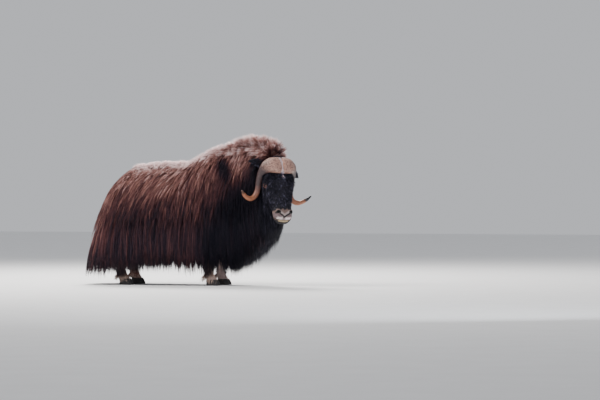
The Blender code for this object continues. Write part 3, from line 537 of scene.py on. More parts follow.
# The skull along the face, from behind the boss to the lips: upper line, lower line, half width
face_top = profile(
    (-0.115, -0.020), (-0.06, 0.012), (0.02, 0.026), (0.07, 0.038), (0.12, 0.045), (0.20, 0.036),
    (0.32, 0.012), (0.42, -0.002), (0.46, -0.014), (0.49, -0.034), (0.52, -0.062), (0.54, -0.088),
)
face_low = profile(
    (-0.115, -0.125), (-0.04, -0.200), (0.10, -0.236), (0.22, -0.240), (0.32, -0.205),
    (0.42, -0.165), (0.49, -0.138), (0.525, -0.122), (0.540, -0.108),
)
face_wide = profile(
    (-0.115, 0.060), (-0.06, 0.105), (0.02, 0.132), (0.10, 0.146), (0.17, 0.146), (0.24, 0.135),
    (0.32, 0.115), (0.38, 0.102), (0.44, 0.098), (0.485, 0.094), (0.515, 0.078), (0.54, 0.044),
)


def face_ring(f, count):
    """A section across the face: broad and rounded above, narrowing to the jaw."""
    high, low, wide = float(face_top(f)), float(face_low(f)), float(face_wide(f))
    middle = low + (high - low) * 0.60
    ring = []
    for k in range(count):
        angle = 2 * math.pi * k / count
        c, s = math.cos(angle), math.sin(angle)
        across = math.copysign(abs(s) ** 0.85, s) * wide
        if c >= 0:
            up = (high - middle) * c**0.9
        else:
            up = (middle - low) * -(abs(c) ** 0.95)
            across *= 1 - 0.30 * abs(c) ** 1.5
        ring.append(Vector((f, across, middle + up)))
    return ring


def mouth_line():
    """The thin wedge that parts the lips, from the front of the muzzle back to its corners."""
    corner, front = MOUTH_CORNER, MOUTH_FRONT
    beyond = front + (front - corner).normalized() * 0.08
    half = (front - corner).cross(Vector((0, 1, 0))).normalized() * 0.0022
    sections = []
    for k in range(21):
        y = 0.13 * (k / 10 - 1)
        inner = corner.lerp(front, 0.86 * max(1 - (y / 0.096) ** 2, 0.0))
        low, high = Vector((0, y, 0)) - half, Vector((0, y, 0)) + half
        sections.append([inner + low, beyond + low - half, beyond + high + half, inner + high])
    return loft("mouth", sections, SKULL)


def face_form():
    """The head under its short hair: skull, jaw, brows, lids, nose and lips, blended as one form."""
    stations = [-0.115 + 0.655 * k / 60 for k in range(61)]
    head = loft("skin", [face_ring(f, 56) for f in stations], SKULL)
    for side in (-1, 1):
        eye = mirrored(EYE_AT, side)
        forms = [
            ball("brow", mirrored(Vector((0.140, 0.108, -0.036)), side), (0.056, 0.042, 0.038)),
            ball("cheek", mirrored(Vector((0.235, 0.098, -0.110)), side), (0.085, 0.036, 0.062)),
            ball("lid", eye, (EYE_RADIUS + 0.008,) * 3, eye_turn(side)),
            ball("wing", mirrored(Vector((0.438, 0.056, -0.026)), side), (0.034, 0.034, 0.028)),
            ball("upper_lip", mirrored(Vector((0.478, 0.040, -0.047)), side), (0.026, 0.048, 0.032)),
        ]
        fused(head, forms)
    fused(head, [ball("lower_lip", Vector((0.512, 0, -0.090)), (0.030, 0.056, 0.030))])
    clay = head.modifiers.new("clay", "REMESH")
    clay.mode, clay.voxel_size = "VOXEL", 0.0038
    soft = head.modifiers.new("soft", "SMOOTH")
    soft.factor, soft.iterations = 0.5, 5
    applied(head)
    points, _, normals = mesh_arrays(head.data)
    place = into(SKULL, points)
    bare = smooth(0.40, 0.44, place[:, 0])
    points -= normals * (HEAD_PELT * (1 - bare))[:, None]
    head.data.vertices.foreach_set("co", points.astype(np.float32).ravel())
    cutters = [mouth_line()]
    for side in (-1, 1):
        turn = eye_turn(side)
        eye = mirrored(EYE_AT, side)
        cutters.append(ball("socket", eye, (EYE_RADIUS + 0.0003,) * 3, turn, 24, 40))
        slit = [
            ellipse(
                eye + turn @ Vector((0, 0, out)),
                turn @ Vector((0.0205 * grow, 0, 0)),
                turn @ Vector((0, 0.0118 * grow, 0)),
                32,
            )
            for out, grow in ((0.010, 0.85), (0.036, 1.22))
        ]
        cutters.append(loft("slit", slit, SKULL))
        nostril = mirrored(Vector((0.448, 0.066, -0.002)), side)
        way = Matrix.Rotation(math.radians(-32) * side, 3, "Z")
        cutters.append(ball("nostril", nostril, (0.0105, 0.019, 0.022), way))
    fused(head, cut=cutters)
    points, _, _ = mesh_arrays(head.data)
    place = into(SKULL, points)
    place[:, 1] += nose_drift(place[:, 0])
    head.data.vertices.foreach_set("co", out_of(SKULL, place).astype(np.float32).ravel())
    return head


def body_form():
    """The body under its coat, from the tail to the throat, flat below."""
    stations = np.linspace(BODY_END - 0.03, FAN_X, 46) - FAN_X
    fan = FAN_END * np.linspace(0, 1, 11)[1:]
    half = np.concatenate([stations, fan])
    loop = [(1, a) for a in half] + [(-1, a) for a in half[-2::-1]]
    deep = 18
    points = []
    for side, a in loop:
        x = FAN_X + max(a, 0.0)
        low = float(v_of_z(x, under_z(x)))
        v = np.linspace(0.0, low, deep)
        row = coat_point(side, np.full(deep, a), v, -coat_depth(x, v))
        row[0] = (x, 0.0, ridge_z(x) - coat_depth(x, 0.0))
        row[-1, 2] = under_z(x)
        points.extend(carry(row))
    faces = []
    for j in range(len(loop) - 1):
        for k in range(deep - 1):
            a, b = j * deep + k, (j + 1) * deep + k
            faces.append((a, b, b + 1, a + 1))
    last, total = deep - 1, len(loop)
    for i in range(len(stations) - 1):
        left, right = i * deep + last, (total - 1 - i) * deep + last
        faces.append((left, left + deep, right - deep, right))
    first = len(stations) - 1
    faces.append(tuple(j * deep + last for j in range(first, total - first)))
    faces.append(tuple(range(deep)) + tuple((total - 1) * deep + k for k in range(deep - 1, 0, -1)))
    return closed("body", points, faces)


FORELEG = [
    (0.60, -0.02, 0.090, 0.072),
    (0.52, -0.01, 0.080, 0.065),
    (0.42, 0.0, 0.063, 0.053),
    (0.34, 0.012, 0.048, 0.044),
    (0.29, 0.016, 0.046, 0.042),
    (0.24, 0.008, 0.038, 0.036),
    (0.16, 0.0, 0.034, 0.033),
    (0.115, 0.004, 0.042, 0.040),
    (0.08, 0.018, 0.047, 0.046),
    (0.058, 0.028, 0.051, 0.050),
]
HINDLEG = [
    (0.60, 0.10, 0.120, 0.075),
    (0.52, 0.07, 0.110, 0.070),
    (0.45, 0.015, 0.080, 0.055),
    (0.39, -0.03, 0.059, 0.044),
    (0.34, -0.042, 0.050, 0.039),
    (0.28, -0.030, 0.041, 0.036),
    (0.17, -0.008, 0.036, 0.034),
    (0.12, 0.0, 0.044, 0.040),
    (0.08, 0.016, 0.047, 0.045),
    (0.058, 0.026, 0.051, 0.048),
]
LEG_TABLES = {"fore": FORELEG, "hind": HINDLEG}
HOOF_HEIGHT = 0.058


def leg_form(word, side):
    """A leg from inside the belly to the top of its hooves, with its two dew claws."""
    table = np.array(LEG_TABLES[word])[::-1]
    heights = np.linspace(HOOF_HEIGHT, 0.60, 40)
    x0, y0 = LEGS[word]
    columns = [profile(*zip(table[:, 0], table[:, c])) for c in (1, 2, 3)]
    rings = []
    for z in heights:
        ahead, long, wide = (float(column(z)) for column in columns)
        centre = Vector((x0 - CENTRE_X + ahead, side * y0 - CENTRE_Y, z))
        rings.append(ellipse(centre, Vector((long, 0, 0)), Vector((0, wide, 0)), 28))
    shin = loft("leg", rings)
    claws = []
    for twin in (-1, 1):
        path = [(-0.020, 0.018, 0.112, 0.012), (-0.034, 0.023, 0.100, 0.015), (-0.047, 0.026, 0.082, 0.013)]
        path += [(-0.052, 0.026, 0.072, 0.008)]
        ring = [
            ellipse(
                Vector((x0 - CENTRE_X + f, side * y0 - CENTRE_Y + twin * w, z)),
                Vector((r, 0, 0)),
                Vector((0, r * 0.85, 0)),
                12,
            )
            for f, w, z, r in path
        ]
        claws.append(loft("claw", ring))
    return fused(shin, claws)


EAR_LENGTH, EAR_WIDTH = 0.180, 0.040
EAR_ROOT = Vector((-0.140, 0.095, -0.038))
EAR_LIFT = {1: math.radians(-22), -1: math.radians(24)}
ear_wide = profile((0.0, 0.55), (0.25, 0.88), (0.5, 1.0), (0.75, 0.78), (0.93, 0.36), (1.0, 0.10))
ear_thick = profile((0.0, 0.020), (0.25, 0.021), (0.5, 0.019), (0.75, 0.013), (0.93, 0.006), (1.0, 0.003))


def ear_form(side):
    """A leaf-shaped ear with its cup open to the front, sunk into the side of the head."""
    outer, inner = [], []
    for k in range(25):
        t = k / 24
        wide, thick = EAR_WIDTH * float(ear_wide(t)), float(ear_thick(t))
        centre = Vector((-0.012 * t * t, t * EAR_LENGTH, 0.02 * math.sin(t * math.pi)))
        outer.append(ellipse(centre, Vector((thick, 0, 0)), Vector((0, 0, wide)), 28))
        if t > 0.1:
            hollow = centre + Vector((thick * 0.95, 0, 0))
            inner.append(ellipse(hollow, Vector((thick * 1.2, 0, 0)), Vector((0, 0, wide * 0.72)), 24))
    tilt = Matrix.Rotation(EAR_LIFT[side], 4, "X") @ Matrix.Rotation(math.radians(4), 4, "Z")
    place = LEVEL @ Matrix.Scale(side, 4, (0, 1, 0)) @ Matrix.Translation(EAR_ROOT) @ tilt
    shell, cup = loft("ear", outer, place), loft("cup", inner, place)
    if side < 0:
        shell.data.flip_normals()
        cup.data.flip_normals()
    return fused(shell, cut=[cup])


def hair_mesh(name, spine, out, half, thick, root_uv, tone):
    """Thin, tapered and closed strands.

    spine holds the points of each strand from root to tip, out the way its rounded side faces,
    half and thick its half width and its height at all points but the tip, root_uv the place of
    its root on the unwrapped skin, and tone how pale it is at each point.
    """
    count, steps = spine.shape[0], spine.shape[1] - 1
    along = np.empty((count, steps, 3))
    along[:, 0] = spine[:, 1] - spine[:, 0]
    along[:, 1:] = spine[:, 2:] - spine[:, :-2]
    along = unit(along)
    across = unit(np.cross(along, out))
    lift = np.cross(across, along)
    here = spine[:, :-1]
    wide, high = across * half[..., None], lift * thick[..., None]
    rings = np.stack([here - wide, here + high, here + wide], axis=2)
    per = 3 * steps + 1
    points = np.concatenate([rings.reshape(count, per - 1, 3), spine[:, -1:]], axis=1)
    faces = [(0, 2, 1)]
    for i in range(steps - 1):
        for k in range(3):
            p, q = 3 * i + k, 3 * i + (k + 1) % 3
            faces += [(p, q, q + 3), (p, q + 3, p + 3)]
    faces += [(3 * steps - 3 + k, 3 * steps - 3 + (k + 1) % 3, per - 1) for k in range(3)]
    faces = np.array(faces)[None] + (np.arange(count) * per)[:, None, None]
    share = np.concatenate([np.repeat(np.arange(steps) / steps, 3), [1.0]])
    sideways = np.concatenate([np.tile([-1.0, 0.0, 1.0], steps), [0.0]])
    patch = np.stack([0.0015 * sideways, 0.003 * (share - 0.5)], axis=-1)
    uv = np.clip(root_uv[:, None] + patch[None], 0.0, 1.0)
    shade = np.concatenate([np.repeat(tone[:, :-1], 3, axis=1), tone[:, -1:]], axis=1)
    reach = np.broadcast_to(share, (count, per))
    values = {"tone": shade.ravel(), "reach": reach.ravel()}
    return plain_mesh(name, points.reshape(-1, 3), faces.reshape(-1, 3), uv.reshape(-1, 2), values)


def hung_strands(draw, side, a0, a1, coat):
    """Spines of the long coat that hangs on one side between two stations of the body."""
    steps = 4
    roots = []
    v = 0.012
    while v < 1.62:
        pitch = coat.lock_pitch * (1 + 0.25 * (v > 1))
        columns = max(int(round((a1 - a0) / pitch)), 1)
        a = a0 + (np.arange(columns) + draw.uniform(0.05, 0.95, columns)) * (a1 - a0) / columns
        roots.append(np.stack([a, v + draw.uniform(-0.5, 0.5, columns) * 0.045], axis=-1))
        v += coat.lock_row / (0.62 if v < 1 else 0.75)
    roots = np.concatenate(roots)
    roots = roots[roots[:, 1] > 0.002]
    a, v = roots.T
    x = FAN_X + np.maximum(a, 0)
    length = 0.11 + 0.17 * smooth(0.0, 1.0, v) + 0.02 * smooth(1.15, 1.6, x)
    length = length * (1 - 0.25 * smooth(0.9, 1.05, x) * (1 - smooth(1.2, 1.4, x)) * (1 - smooth(0.1, 0.6, v)))
    length = length * draw.uniform(0.75, 1.30, len(a))
    fall = np.where(v < 1, 0.62, widest_z(x) - hem_z(x))
    tip_v = v + length / fall
    rear = 1 - smooth(-0.10, 0.12, a)
    front = smooth(1.78, 2.02, x)
    hem = 2.085 + 0.045 * rear - 0.10 * front + 0.05 * np.exp(-(((x - 1.73) / 0.08) ** 2))
    hem = hem + draw.normal(0, 0.017, len(a))
    ragged = draw.random(len(a)) < 0.12
    hem = np.where(ragged, hem + draw.uniform(0.0, 0.035, len(a)), hem)
    long_skirt = (v > 1.05 + draw.uniform(-0.28, 0.15, len(a))) & (tip_v > 1.45)
    tip_v = np.where(long_skirt, np.maximum(tip_v, hem - draw.uniform(0, 0.13, len(a))), tip_v)
    tip_v = np.minimum(tip_v, hem)
    sway = draw.normal(0, 0.018, len(a)) + 0.020 * np.sin(7.3 * a + 5.1 * v + side)
    tip_lift = draw.uniform(0.0, 0.22, len(a)) ** 1.5
    streak = draw.normal(0, 0.13, len(a))
    skirt = draw.uniform(0.0, 0.8, len(a))

    owner = np.repeat(np.arange(len(a)), coat.hairs)
    n = len(owner)
    near = draw.uniform(-1, 1, (n, 2))
    t = np.linspace(0, 1, steps + 1)
    gather = 1 - (0.72 - 0.26 * long_skirt[owner, None]) * t**1.2
    wave = draw.normal(0, 0.0035, n)
    phase = draw.uniform(0, 6.28, n)
    da = near[:, :1] * coat.lock_pitch * 0.62 * gather + wave[:, None] * np.sin(phase[:, None] + 5 * t)
    path_a = a[owner, None] + da + sway[owner, None] * t**1.4
    own = np.where(long_skirt[owner], draw.uniform(0.92, 1.03, n), draw.uniform(0.82, 1.08, n))
    dv = near[:, 1:] * 0.03
    path_v = v[owner, None] + dv + ((tip_v - v)[owner] * own)[:, None] * t
    path_v = np.clip(path_v, 0.0, 2.17)
    px = FAN_X + np.maximum(path_a, 0)
    depth = coat_depth(px, np.minimum(path_v, 2.0))
    round_lock = (1 - near[:, :1] ** 2) * 0.011
    share = (1 - t) ** 1.35
    deep = depth * (share * (1 - tip_lift[owner, None]) + 0.12 * (1 - share))
    low = smooth(1.05, 1.45, path_v) * skirt[owner, None] * depth * 0.75
    out = -np.maximum(deep, low) + round_lock * np.sin(np.pi * np.clip(t, 0.12, 0.9)) - 0.004
    flare = 0.034 * (1 - smooth(-0.15, 0.25, path_a)) * smooth(1.15, 1.9, path_v)
    spine = coat_point(side, path_a, path_v, np.minimum(out, 0.006) + flare)
    facing = coat_point(side, path_a, path_v, np.full(path_a.shape, 0.05))
    rise = crest_rise(px) * smooth(1.10, 1.30, px) * (1 - smooth(0.0, 0.34, path_v)) * (path_a > 0)
    spine[..., 2] += rise * t**0.8 * 0.85
    spine[..., 0] -= rise * t * 0.5
    spine, facing = carry(spine), carry(facing)
    lie = unit(facing - spine)[:, :-1]
    tone = hide_tone(spine)
    shift = streak[owner, None] * (0.35 + 0.65 * t) + draw.normal(0, 0.05, n)[:, None]
    tone = np.minimum(tone + shift * (0.55 + 0.8 * tone) + 0.06 * t * tone, np.maximum(tone + 0.04, 0.80))
    half = coat.hair_width * draw.uniform(0.7, 1.15, n)[:, None] * (1 - 0.55 * t[:-1] ** 2)
    uv = np.stack([(path_a[:, 0] - FAN_END) / (BODY_END - FAN_X - FAN_END), path_v[:, 0] / 4.2], axis=-1)
    uv[:, 1] = 0.5 + side * uv[:, 1]
    return spine, lie, half, half * 0.55, uv, np.clip(tone, 0, 1)


def crest_strands(draw, side, coat):
    """Spines of the hair that stands up along the hump and nape, leaning back and out."""
    count, bunches, steps = 5200, 300, 4
    lock = draw.integers(0, bunches, count)
    near_rump = draw.random(bunches) < 0.27
    lock_x = np.where(near_rump, draw.uniform(0.50, 1.06, bunches), draw.uniform(1.04, 2.10, bunches))
    lock_v = draw.random(bunches) ** 1.2 * (0.22 + 0.24 * smooth(0.9, 1.3, lock_x))
    x = lock_x[lock] + draw.normal(0, 0.013, count)
    v = np.abs(lock_v[lock] + draw.normal(0, 0.035, count))
    a = x - FAN_X
    zero = np.zeros(count)
    root = coat_point(side, a, v, zero - 0.045)
    tall = (crest_rise(x) + 0.030) * (1 - 0.45 * smooth(0.10, 0.50, v)) * draw.uniform(0.75, 1.12, count)
    tall = tall * (0.62 + 0.62 * draw.random(bunches))[lock] + 0.042
    tall = tall - 0.010 - 0.016 * np.exp(-(((x - 1.28) / 0.20) ** 2)) - 0.014 * smooth(1.97, 2.06, x)
    out = unit(coat_point(side, a, v, zero + 0.05) - root)
    back = 0.30 + 0.85 * smooth(0.12, 0.46, v) + draw.normal(0, 0.12, bunches)[lock]
    back = back + 0.75 * (1 - smooth(1.04, 1.30, x))
    ahead = draw.normal(0, 0.10, count) + draw.normal(0, 0.16, bunches)[lock]
    ahead = np.minimum(ahead, 0.30 - 0.10 * smooth(1.98, 2.06, x)) + 0.22 * smooth(1.92, 2.05, x)
    way = out + np.stack([ahead - back, side * draw.normal(0.05, 0.15, count), zero], axis=-1)
    way = unit(way) * tall[:, None]
    t = np.linspace(0, 1, steps + 1)[None, :, None]
    gather = coat_point(side, lock_x[lock] - FAN_X, lock_v[lock], zero) - root
    spine = root[:, None] + way[:, None] * t + gather[:, None] * [1.0, 1.0, 0.0] * 0.75 * t
    droop = (0.10 + 0.55 * smooth(0.10, 0.46, v))[:, None] * tall[:, None] * (t[..., 0] ** 2)
    spine[..., 2] -= droop * 0.6
    spine[..., 1] += side * droop * 0.35
    spine[..., 0] -= droop * 0.5
    spine = carry(spine)
    facing = np.broadcast_to(carry(root + out * 0.01)[:, None] - carry(root)[:, None], spine[:, 1:].shape)
    facing = facing + np.array([0.0, -0.004, 0.002]) * side
    t = t[..., 0]
    shift = draw.normal(0, 0.12, bunches)[lock][:, None] + draw.normal(0, 0.05, count)[:, None]
    plain = 1 - smooth(1.0, 1.2, x)[:, None]
    tone = hide_tone(spine) - 0.26 + 0.36 * t + 0.14 * t**3 + 0.22 * plain * (1 - t) + shift
    half = coat.hair_width * 0.85 * draw.uniform(0.7, 1.15, count)[:, None] * (1 - 0.6 * t[:, :-1] ** 2)
    uv = np.stack([(a - FAN_END) / (BODY_END - FAN_X - FAN_END), 0.5 + side * v / 4.2], axis=-1)
    return spine, unit(facing), half, half * 0.55, uv, np.clip(tone, 0, 1)


def clear_of_head(spine, guards):
    """True for the strands that keep behind the head's rear edge and out of the guards' solids, which are the horns.
    """
    level = into(LEVEL, spine)
    ahead, height = level[..., 0], level[..., 2]
    limit = -0.165 + 0.125 * smooth(-0.04, 0.06, height) + 0.035 * smooth(0.07, 0.12, height)
    under = smooth(-0.44, -0.52, height) * 0.14
    good = (ahead < limit + under + 0.012).all(axis=1)
    for guard in guards:
        for i in np.flatnonzero(good):
            for p in spine[i, 1::2]:
                point = Vector(p)
                near, normal, _, distance = guard.find_nearest(point, 0.03)
                if near and (point - near).dot(normal) < 0.0:
                    good[i] = False
                    break
    return good


def grown_strands(draw, hide, keep, pitch, flow, reach, steps, width, lean):
    """Spines of short fur that grows from the skin where keep is true.

    flow gives the lie at points of the skin, reach its length there and lean how far it stands off.
    """
    points, faces, normals = hide
    corners = points[faces]
    middle = corners.mean(axis=1)
    chosen = np.flatnonzero(keep(middle))
    corners, rise = corners[chosen], normals[faces[chosen]]
    area = np.linalg.norm(np.cross(corners[:, 1] - corners[:, 0], corners[:, 2] - corners[:, 0]), axis=1) / 2
    count = int(area.sum() / pitch**2)
    owner = draw.choice(len(chosen), count, p=area / area.sum())
    u, w = draw.random(count), draw.random(count)
    flip = u + w > 1
    u, w = np.where(flip, 1 - u, u), np.where(flip, 1 - w, w)
    share = np.stack([1 - u - w, u, w], axis=-1)[..., None]
    root = (corners[owner] * share).sum(axis=1)
    out = unit((rise[owner] * share).sum(axis=1))
    lie = flow(root)
    lie = unit(lie - out * (lie * out).sum(axis=1, keepdims=True))
    side = np.cross(lie, out)
    long = reach(root) * draw.uniform(0.7, 1.25, count)
    drift = draw.normal(0, 0.16, count)[:, None]
    stand = lean(root)[:, None] * draw.uniform(0.6, 1.4, count)[:, None]
    t = np.linspace(0, 1, steps + 1)[None, :, None]
    way = unit(lie + side * drift + out * stand)
    spine = root[:, None] + way[:, None] * long[:, None, None] * t
    sag = -(long * 0.22)[:, None, None] * t**2
    spine = spine + sag * (out * stand)[:, None]
    spine -= out[:, None] * 0.0015 * (1 - t)
    half = width * draw.uniform(0.75, 1.2, count)[:, None] * (1 - 0.5 * np.linspace(0, 1, steps + 1)[:-1] ** 2)
    facing = np.broadcast_to(out[:, None], (count, steps, 3))
    return root, spine, facing, half


def tufted(draw, root, spine, pitch, pull):
    """Gathers strands into tufts: draws their tips together, and gives each its tuft's number."""
    picks = draw.permutation(len(root))[: max(int(len(root) * pitch), 1)]
    tree = KDTree(len(picks))
    for i, pick in enumerate(picks):
        tree.insert(root[pick], i)
    tree.balance()
    owner = np.array([tree.find(p)[1] for p in root])
    t = np.linspace(0, 1, spine.shape[1])[None, :, None]
    tips = spine[picks]
    spine += (tips[owner] - spine) * (pull * t**1.3)
    return owner, len(picks)


def brow_share(place):
    """How much a place of the skull's frame belongs to the dark, longer-haired brows."""
    x, side = place[:, 0], np.abs(place[:, 1])
    return np.exp(-(((x - 0.09) / 0.045) ** 2) - ((side - 0.100) / 0.045) ** 2)


def head_uv(root):
    """Places of the head's roots on its unwrapped skin: along the face and round it."""
    place = into(SKULL, root)
    round_it = np.arctan2(place[:, 1], place[:, 2] + 0.10) / (2 * math.pi) + 0.5
    return np.stack([np.clip((place[:, 0] + 0.30) / 0.90, 0.01, 0.99), round_it], axis=-1)


def chest_strands(draw, coat):
    """Spines of the curtain of hair below the neck, from the forelegs to the throat."""
    count = 4800
    x = draw.uniform(1.66, 2.12, count)
    y = draw.uniform(-1, 1, count) * 0.85 * half_width(x) * hem_share(x)
    lock = draw.integers(0, 420, count)
    lock_x, lock_y = draw.uniform(1.66, 2.12, 420), draw.uniform(-1, 1, 420)
    x = 0.35 * x + 0.65 * lock_x[lock]
    y = 0.30 * y + 0.70 * (lock_y[lock] * 0.85 * half_width(x) * hem_share(x))
    steps = 4
    top = under_z(x) + 0.02
    drop = hem_z(x) - 0.055 + 0.105 * smooth(1.70, 2.08, x) + 0.02 * np.abs(y) / 0.2
    drop = drop + draw.normal(0, 0.012, count)
    raised = draw.uniform(0, 1, 420) ** 2 * (0.04 + 0.10 * smooth(1.70, 1.88, lock_x))
    drop = drop + (raised + draw.normal(0, 0.022, 420))[lock]
    tip_x = x + 0.02 + 0.2 * (lock_x[lock] - x)
    tip_y = y * 0.85 + 0.2 * (lock_y[lock] * 0.16 - y * 0.5)
    t = np.linspace(0, 1, steps + 1)[None]
    px = x[:, None] + (tip_x - x)[:, None] * t + 0.006 * np.sin(6 * t + lock[:, None])
    py = y[:, None] + (tip_y - y)[:, None] * t
    pz = top[:, None] + (drop - top)[:, None] * t
    spine = carry(np.stack([px, py, pz], axis=-1))
    centre = carry(np.stack([np.full_like(px, 1.70), np.zeros_like(px), pz], axis=-1))
    facing = unit(spine - centre)[:, :-1]
    streak = np.abs(draw.normal(0, 0.14, 420))[lock] + draw.normal(0, 0.06, count)
    tone = hide_tone(spine) + streak[:, None]
    half = coat.hair_width * draw.uniform(0.8, 1.2, count)[:, None] * (1 - 0.5 * t[:, :-1] ** 2)
    uv = np.stack([0.5 + (x - 1.66) * 0.9, 0.5 + y * 1.2], axis=-1)
    return spine, facing, half, half * 0.6, uv, np.clip(tone, 0, 1)


BEARD = [
    (-0.20, -0.20, -0.62, 0.150),
    (-0.12, -0.22, -0.62, 0.135),
    (-0.06, -0.28, -0.61, 0.105),
    (-0.01, -0.36, -0.60, 0.070),
    (0.03, -0.46, -0.585, 0.035),
]
beard_wide = profile(*((row[0], row[3]) for row in BEARD))
beard_low = profile((-0.20, -0.76), (-0.125, -0.745), (-0.06, -0.710), (0.005, -0.660), (0.04, -0.61))


def beard_strands(draw, coat):
    """Spines of the beard, from the jaw and throat down and a little back."""
    count, bunches, steps = 4200, 300, 4
    lock = draw.integers(0, bunches, count)
    lock_f = draw.uniform(-0.21, 0.03, bunches)
    lock_y = draw.uniform(-1, 1, bunches)
    f = 0.30 * draw.uniform(-0.21, 0.03, count) + 0.70 * lock_f[lock]
    y = 0.25 * draw.uniform(-1, 1, count) + 0.75 * lock_y[lock]
    top = draw.uniform(-0.50, -0.26, count) - 0.12 * smooth(-0.06, 0.03, f)
    low = beard_low(f) + 0.035 * y**2 + draw.normal(0, 0.012, count) + draw.uniform(0, 0.10, bunches)[lock]
    top = np.maximum(top, low + 0.12)
    t = np.linspace(0, 1, steps + 1)[None]
    pf = f[:, None] - 0.035 * t**2 + 0.15 * (lock_f[lock] - f)[:, None] * t
    py = y[:, None] * beard_wide(f)[:, None] * (1 - 0.28 * t**1.5) + 0.005 * np.sin(5 * t + lock[:, None])
    pz = top[:, None] + (low - top)[:, None] * t
    spine = out_of(LEVEL, np.stack([pf, py, pz], axis=-1))
    middle = out_of(LEVEL, np.stack([np.full_like(pf, -0.20), np.zeros_like(py), pz], axis=-1))
    facing = unit(spine - middle)[:, :-1]
    streak = np.abs(draw.normal(0, 0.07, bunches))[lock] + draw.normal(0, 0.03, count)
    tone = hide_tone(spine) - 0.03 + streak[:, None]
    half = coat.hair_width * 0.9 * draw.uniform(0.8, 1.2, count)[:, None] * (1 - 0.5 * t[:, :-1] ** 2)
    uv = np.stack([0.1 + (f + 0.21) * 1.5, 0.5 + y * 0.3], axis=-1)
    return spine, facing, half, half * 0.6, uv, np.clip(tone, 0, 1)


HORN = [
    (-0.022, 0.004, 0.0, 0.060, 0.024),
    (-0.014, 0.013, 0.0, 0.078, 0.038),
    (-0.010, 0.045, 0.0, 0.083, 0.046),
    (-0.018, 0.088, -0.002, 0.079, 0.047),
    (-0.038, 0.124, -0.018, 0.067, 0.044),
    (-0.066, 0.149, -0.052, 0.050, 0.038),
    (-0.098, 0.163, -0.100, 0.037, 0.033),
    (-0.124, 0.168, -0.160, 0.030, 0.029),
    (-0.140, 0.168, -0.225, 0.027, 0.027),
    (-0.144, 0.180, -0.288, 0.0255, 0.0255),
    (-0.140, 0.208, -0.334, 0.0245, 0.0245),
    (-0.130, 0.252, -0.350, 0.0225, 0.0225),
    (-0.115, 0.297, -0.338, 0.019, 0.019),
    (-0.095, 0.335, -0.312, 0.0155, 0.0155),
    (-0.073, 0.368, -0.277, 0.006, 0.006),
]
RIGHT_HOOK_RISE = 0.022
BROW_FACING = Vector((math.sin(BOSS_PITCH), 0.0, math.cos(BOSS_PITCH)))


def groove_strands(draw):
    """Spines of the pale, flaky hair that fills the groove between the horns."""
    count, steps = 1100, 3
    s = draw.uniform(-0.088, 0.080, count)
    y = draw.normal(0, 0.0046, count) - 0.0035 + 0.003 * np.sin(75 * s + 0.6)
    facing = np.array(BROW_FACING)
    upward = np.array([-facing[2], 0.0, facing[0]])

    def surface(s, y):
        bulge = 0.0335 * np.sqrt(np.clip(1 - (s / 0.086) ** 2, 0.04, 1.0)) + 0.25 * np.abs(y)
        place = facing * bulge[..., None] + upward * s[..., None]
        return place + np.stack([0 * s - 0.012, y, 0 * s], axis=-1)

    t = np.linspace(0, 1, steps + 1)[None]
    long = draw.uniform(0.008, 0.022, count)[:, None]
    drift = draw.normal(0.05, 0.50, count)[:, None]
    ps, py = s[:, None] - long * t, y[:, None] + long * drift * t
    level = surface(ps, py) + facing * (0.005 * t * draw.random(count)[:, None] ** 2)[..., None]
    spine = out_of(LEVEL, level)
    out = np.broadcast_to(turned(LEVEL, facing), spine[:, 1:].shape)
    tone = np.clip(0.95 + draw.normal(0, 0.14, count)[:, None] - 0.35 * smooth(-0.07, -0.11, ps), 0, 1)
    half = 0.0015 * draw.uniform(0.8, 1.3, count)[:, None] * (1 - 0.5 * t[:, :-1] ** 2)
    uv = np.stack([0.5 - s * 2, 0.5 + y * 3], axis=-1)
    return spine, out, half, half * 0.6, uv, tone


def through(table, fine):
    """Even steps along a smooth curve through the rows of a table, with their place from 0 to 1."""
    rows = np.array(table, float)
    gaps = np.linalg.norm(np.diff(rows[:, :3], axis=0), axis=1)
    place = np.concatenate([[0.0], np.cumsum(gaps)])
    place /= place[-1]
    slopes = np.gradient(rows, place, axis=0)
    at = np.linspace(0, 1, fine)
    i = np.clip(np.searchsorted(place, at, side="right") - 1, 0, len(place) - 2)
    width = (place[i + 1] - place[i])[:, None]
    t = ((at - place[i]) / (place[i + 1] - place[i]))[:, None]
    low, high = rows[i], rows[i + 1]
    bent = (
        low * (1 + 2 * t) * (1 - t) ** 2
        + high * t * t * (3 - 2 * t)
        + width * (slopes[i] * t * (1 - t) ** 2 - slopes[i + 1] * t * t * (1 - t))
    )
    return bent, at


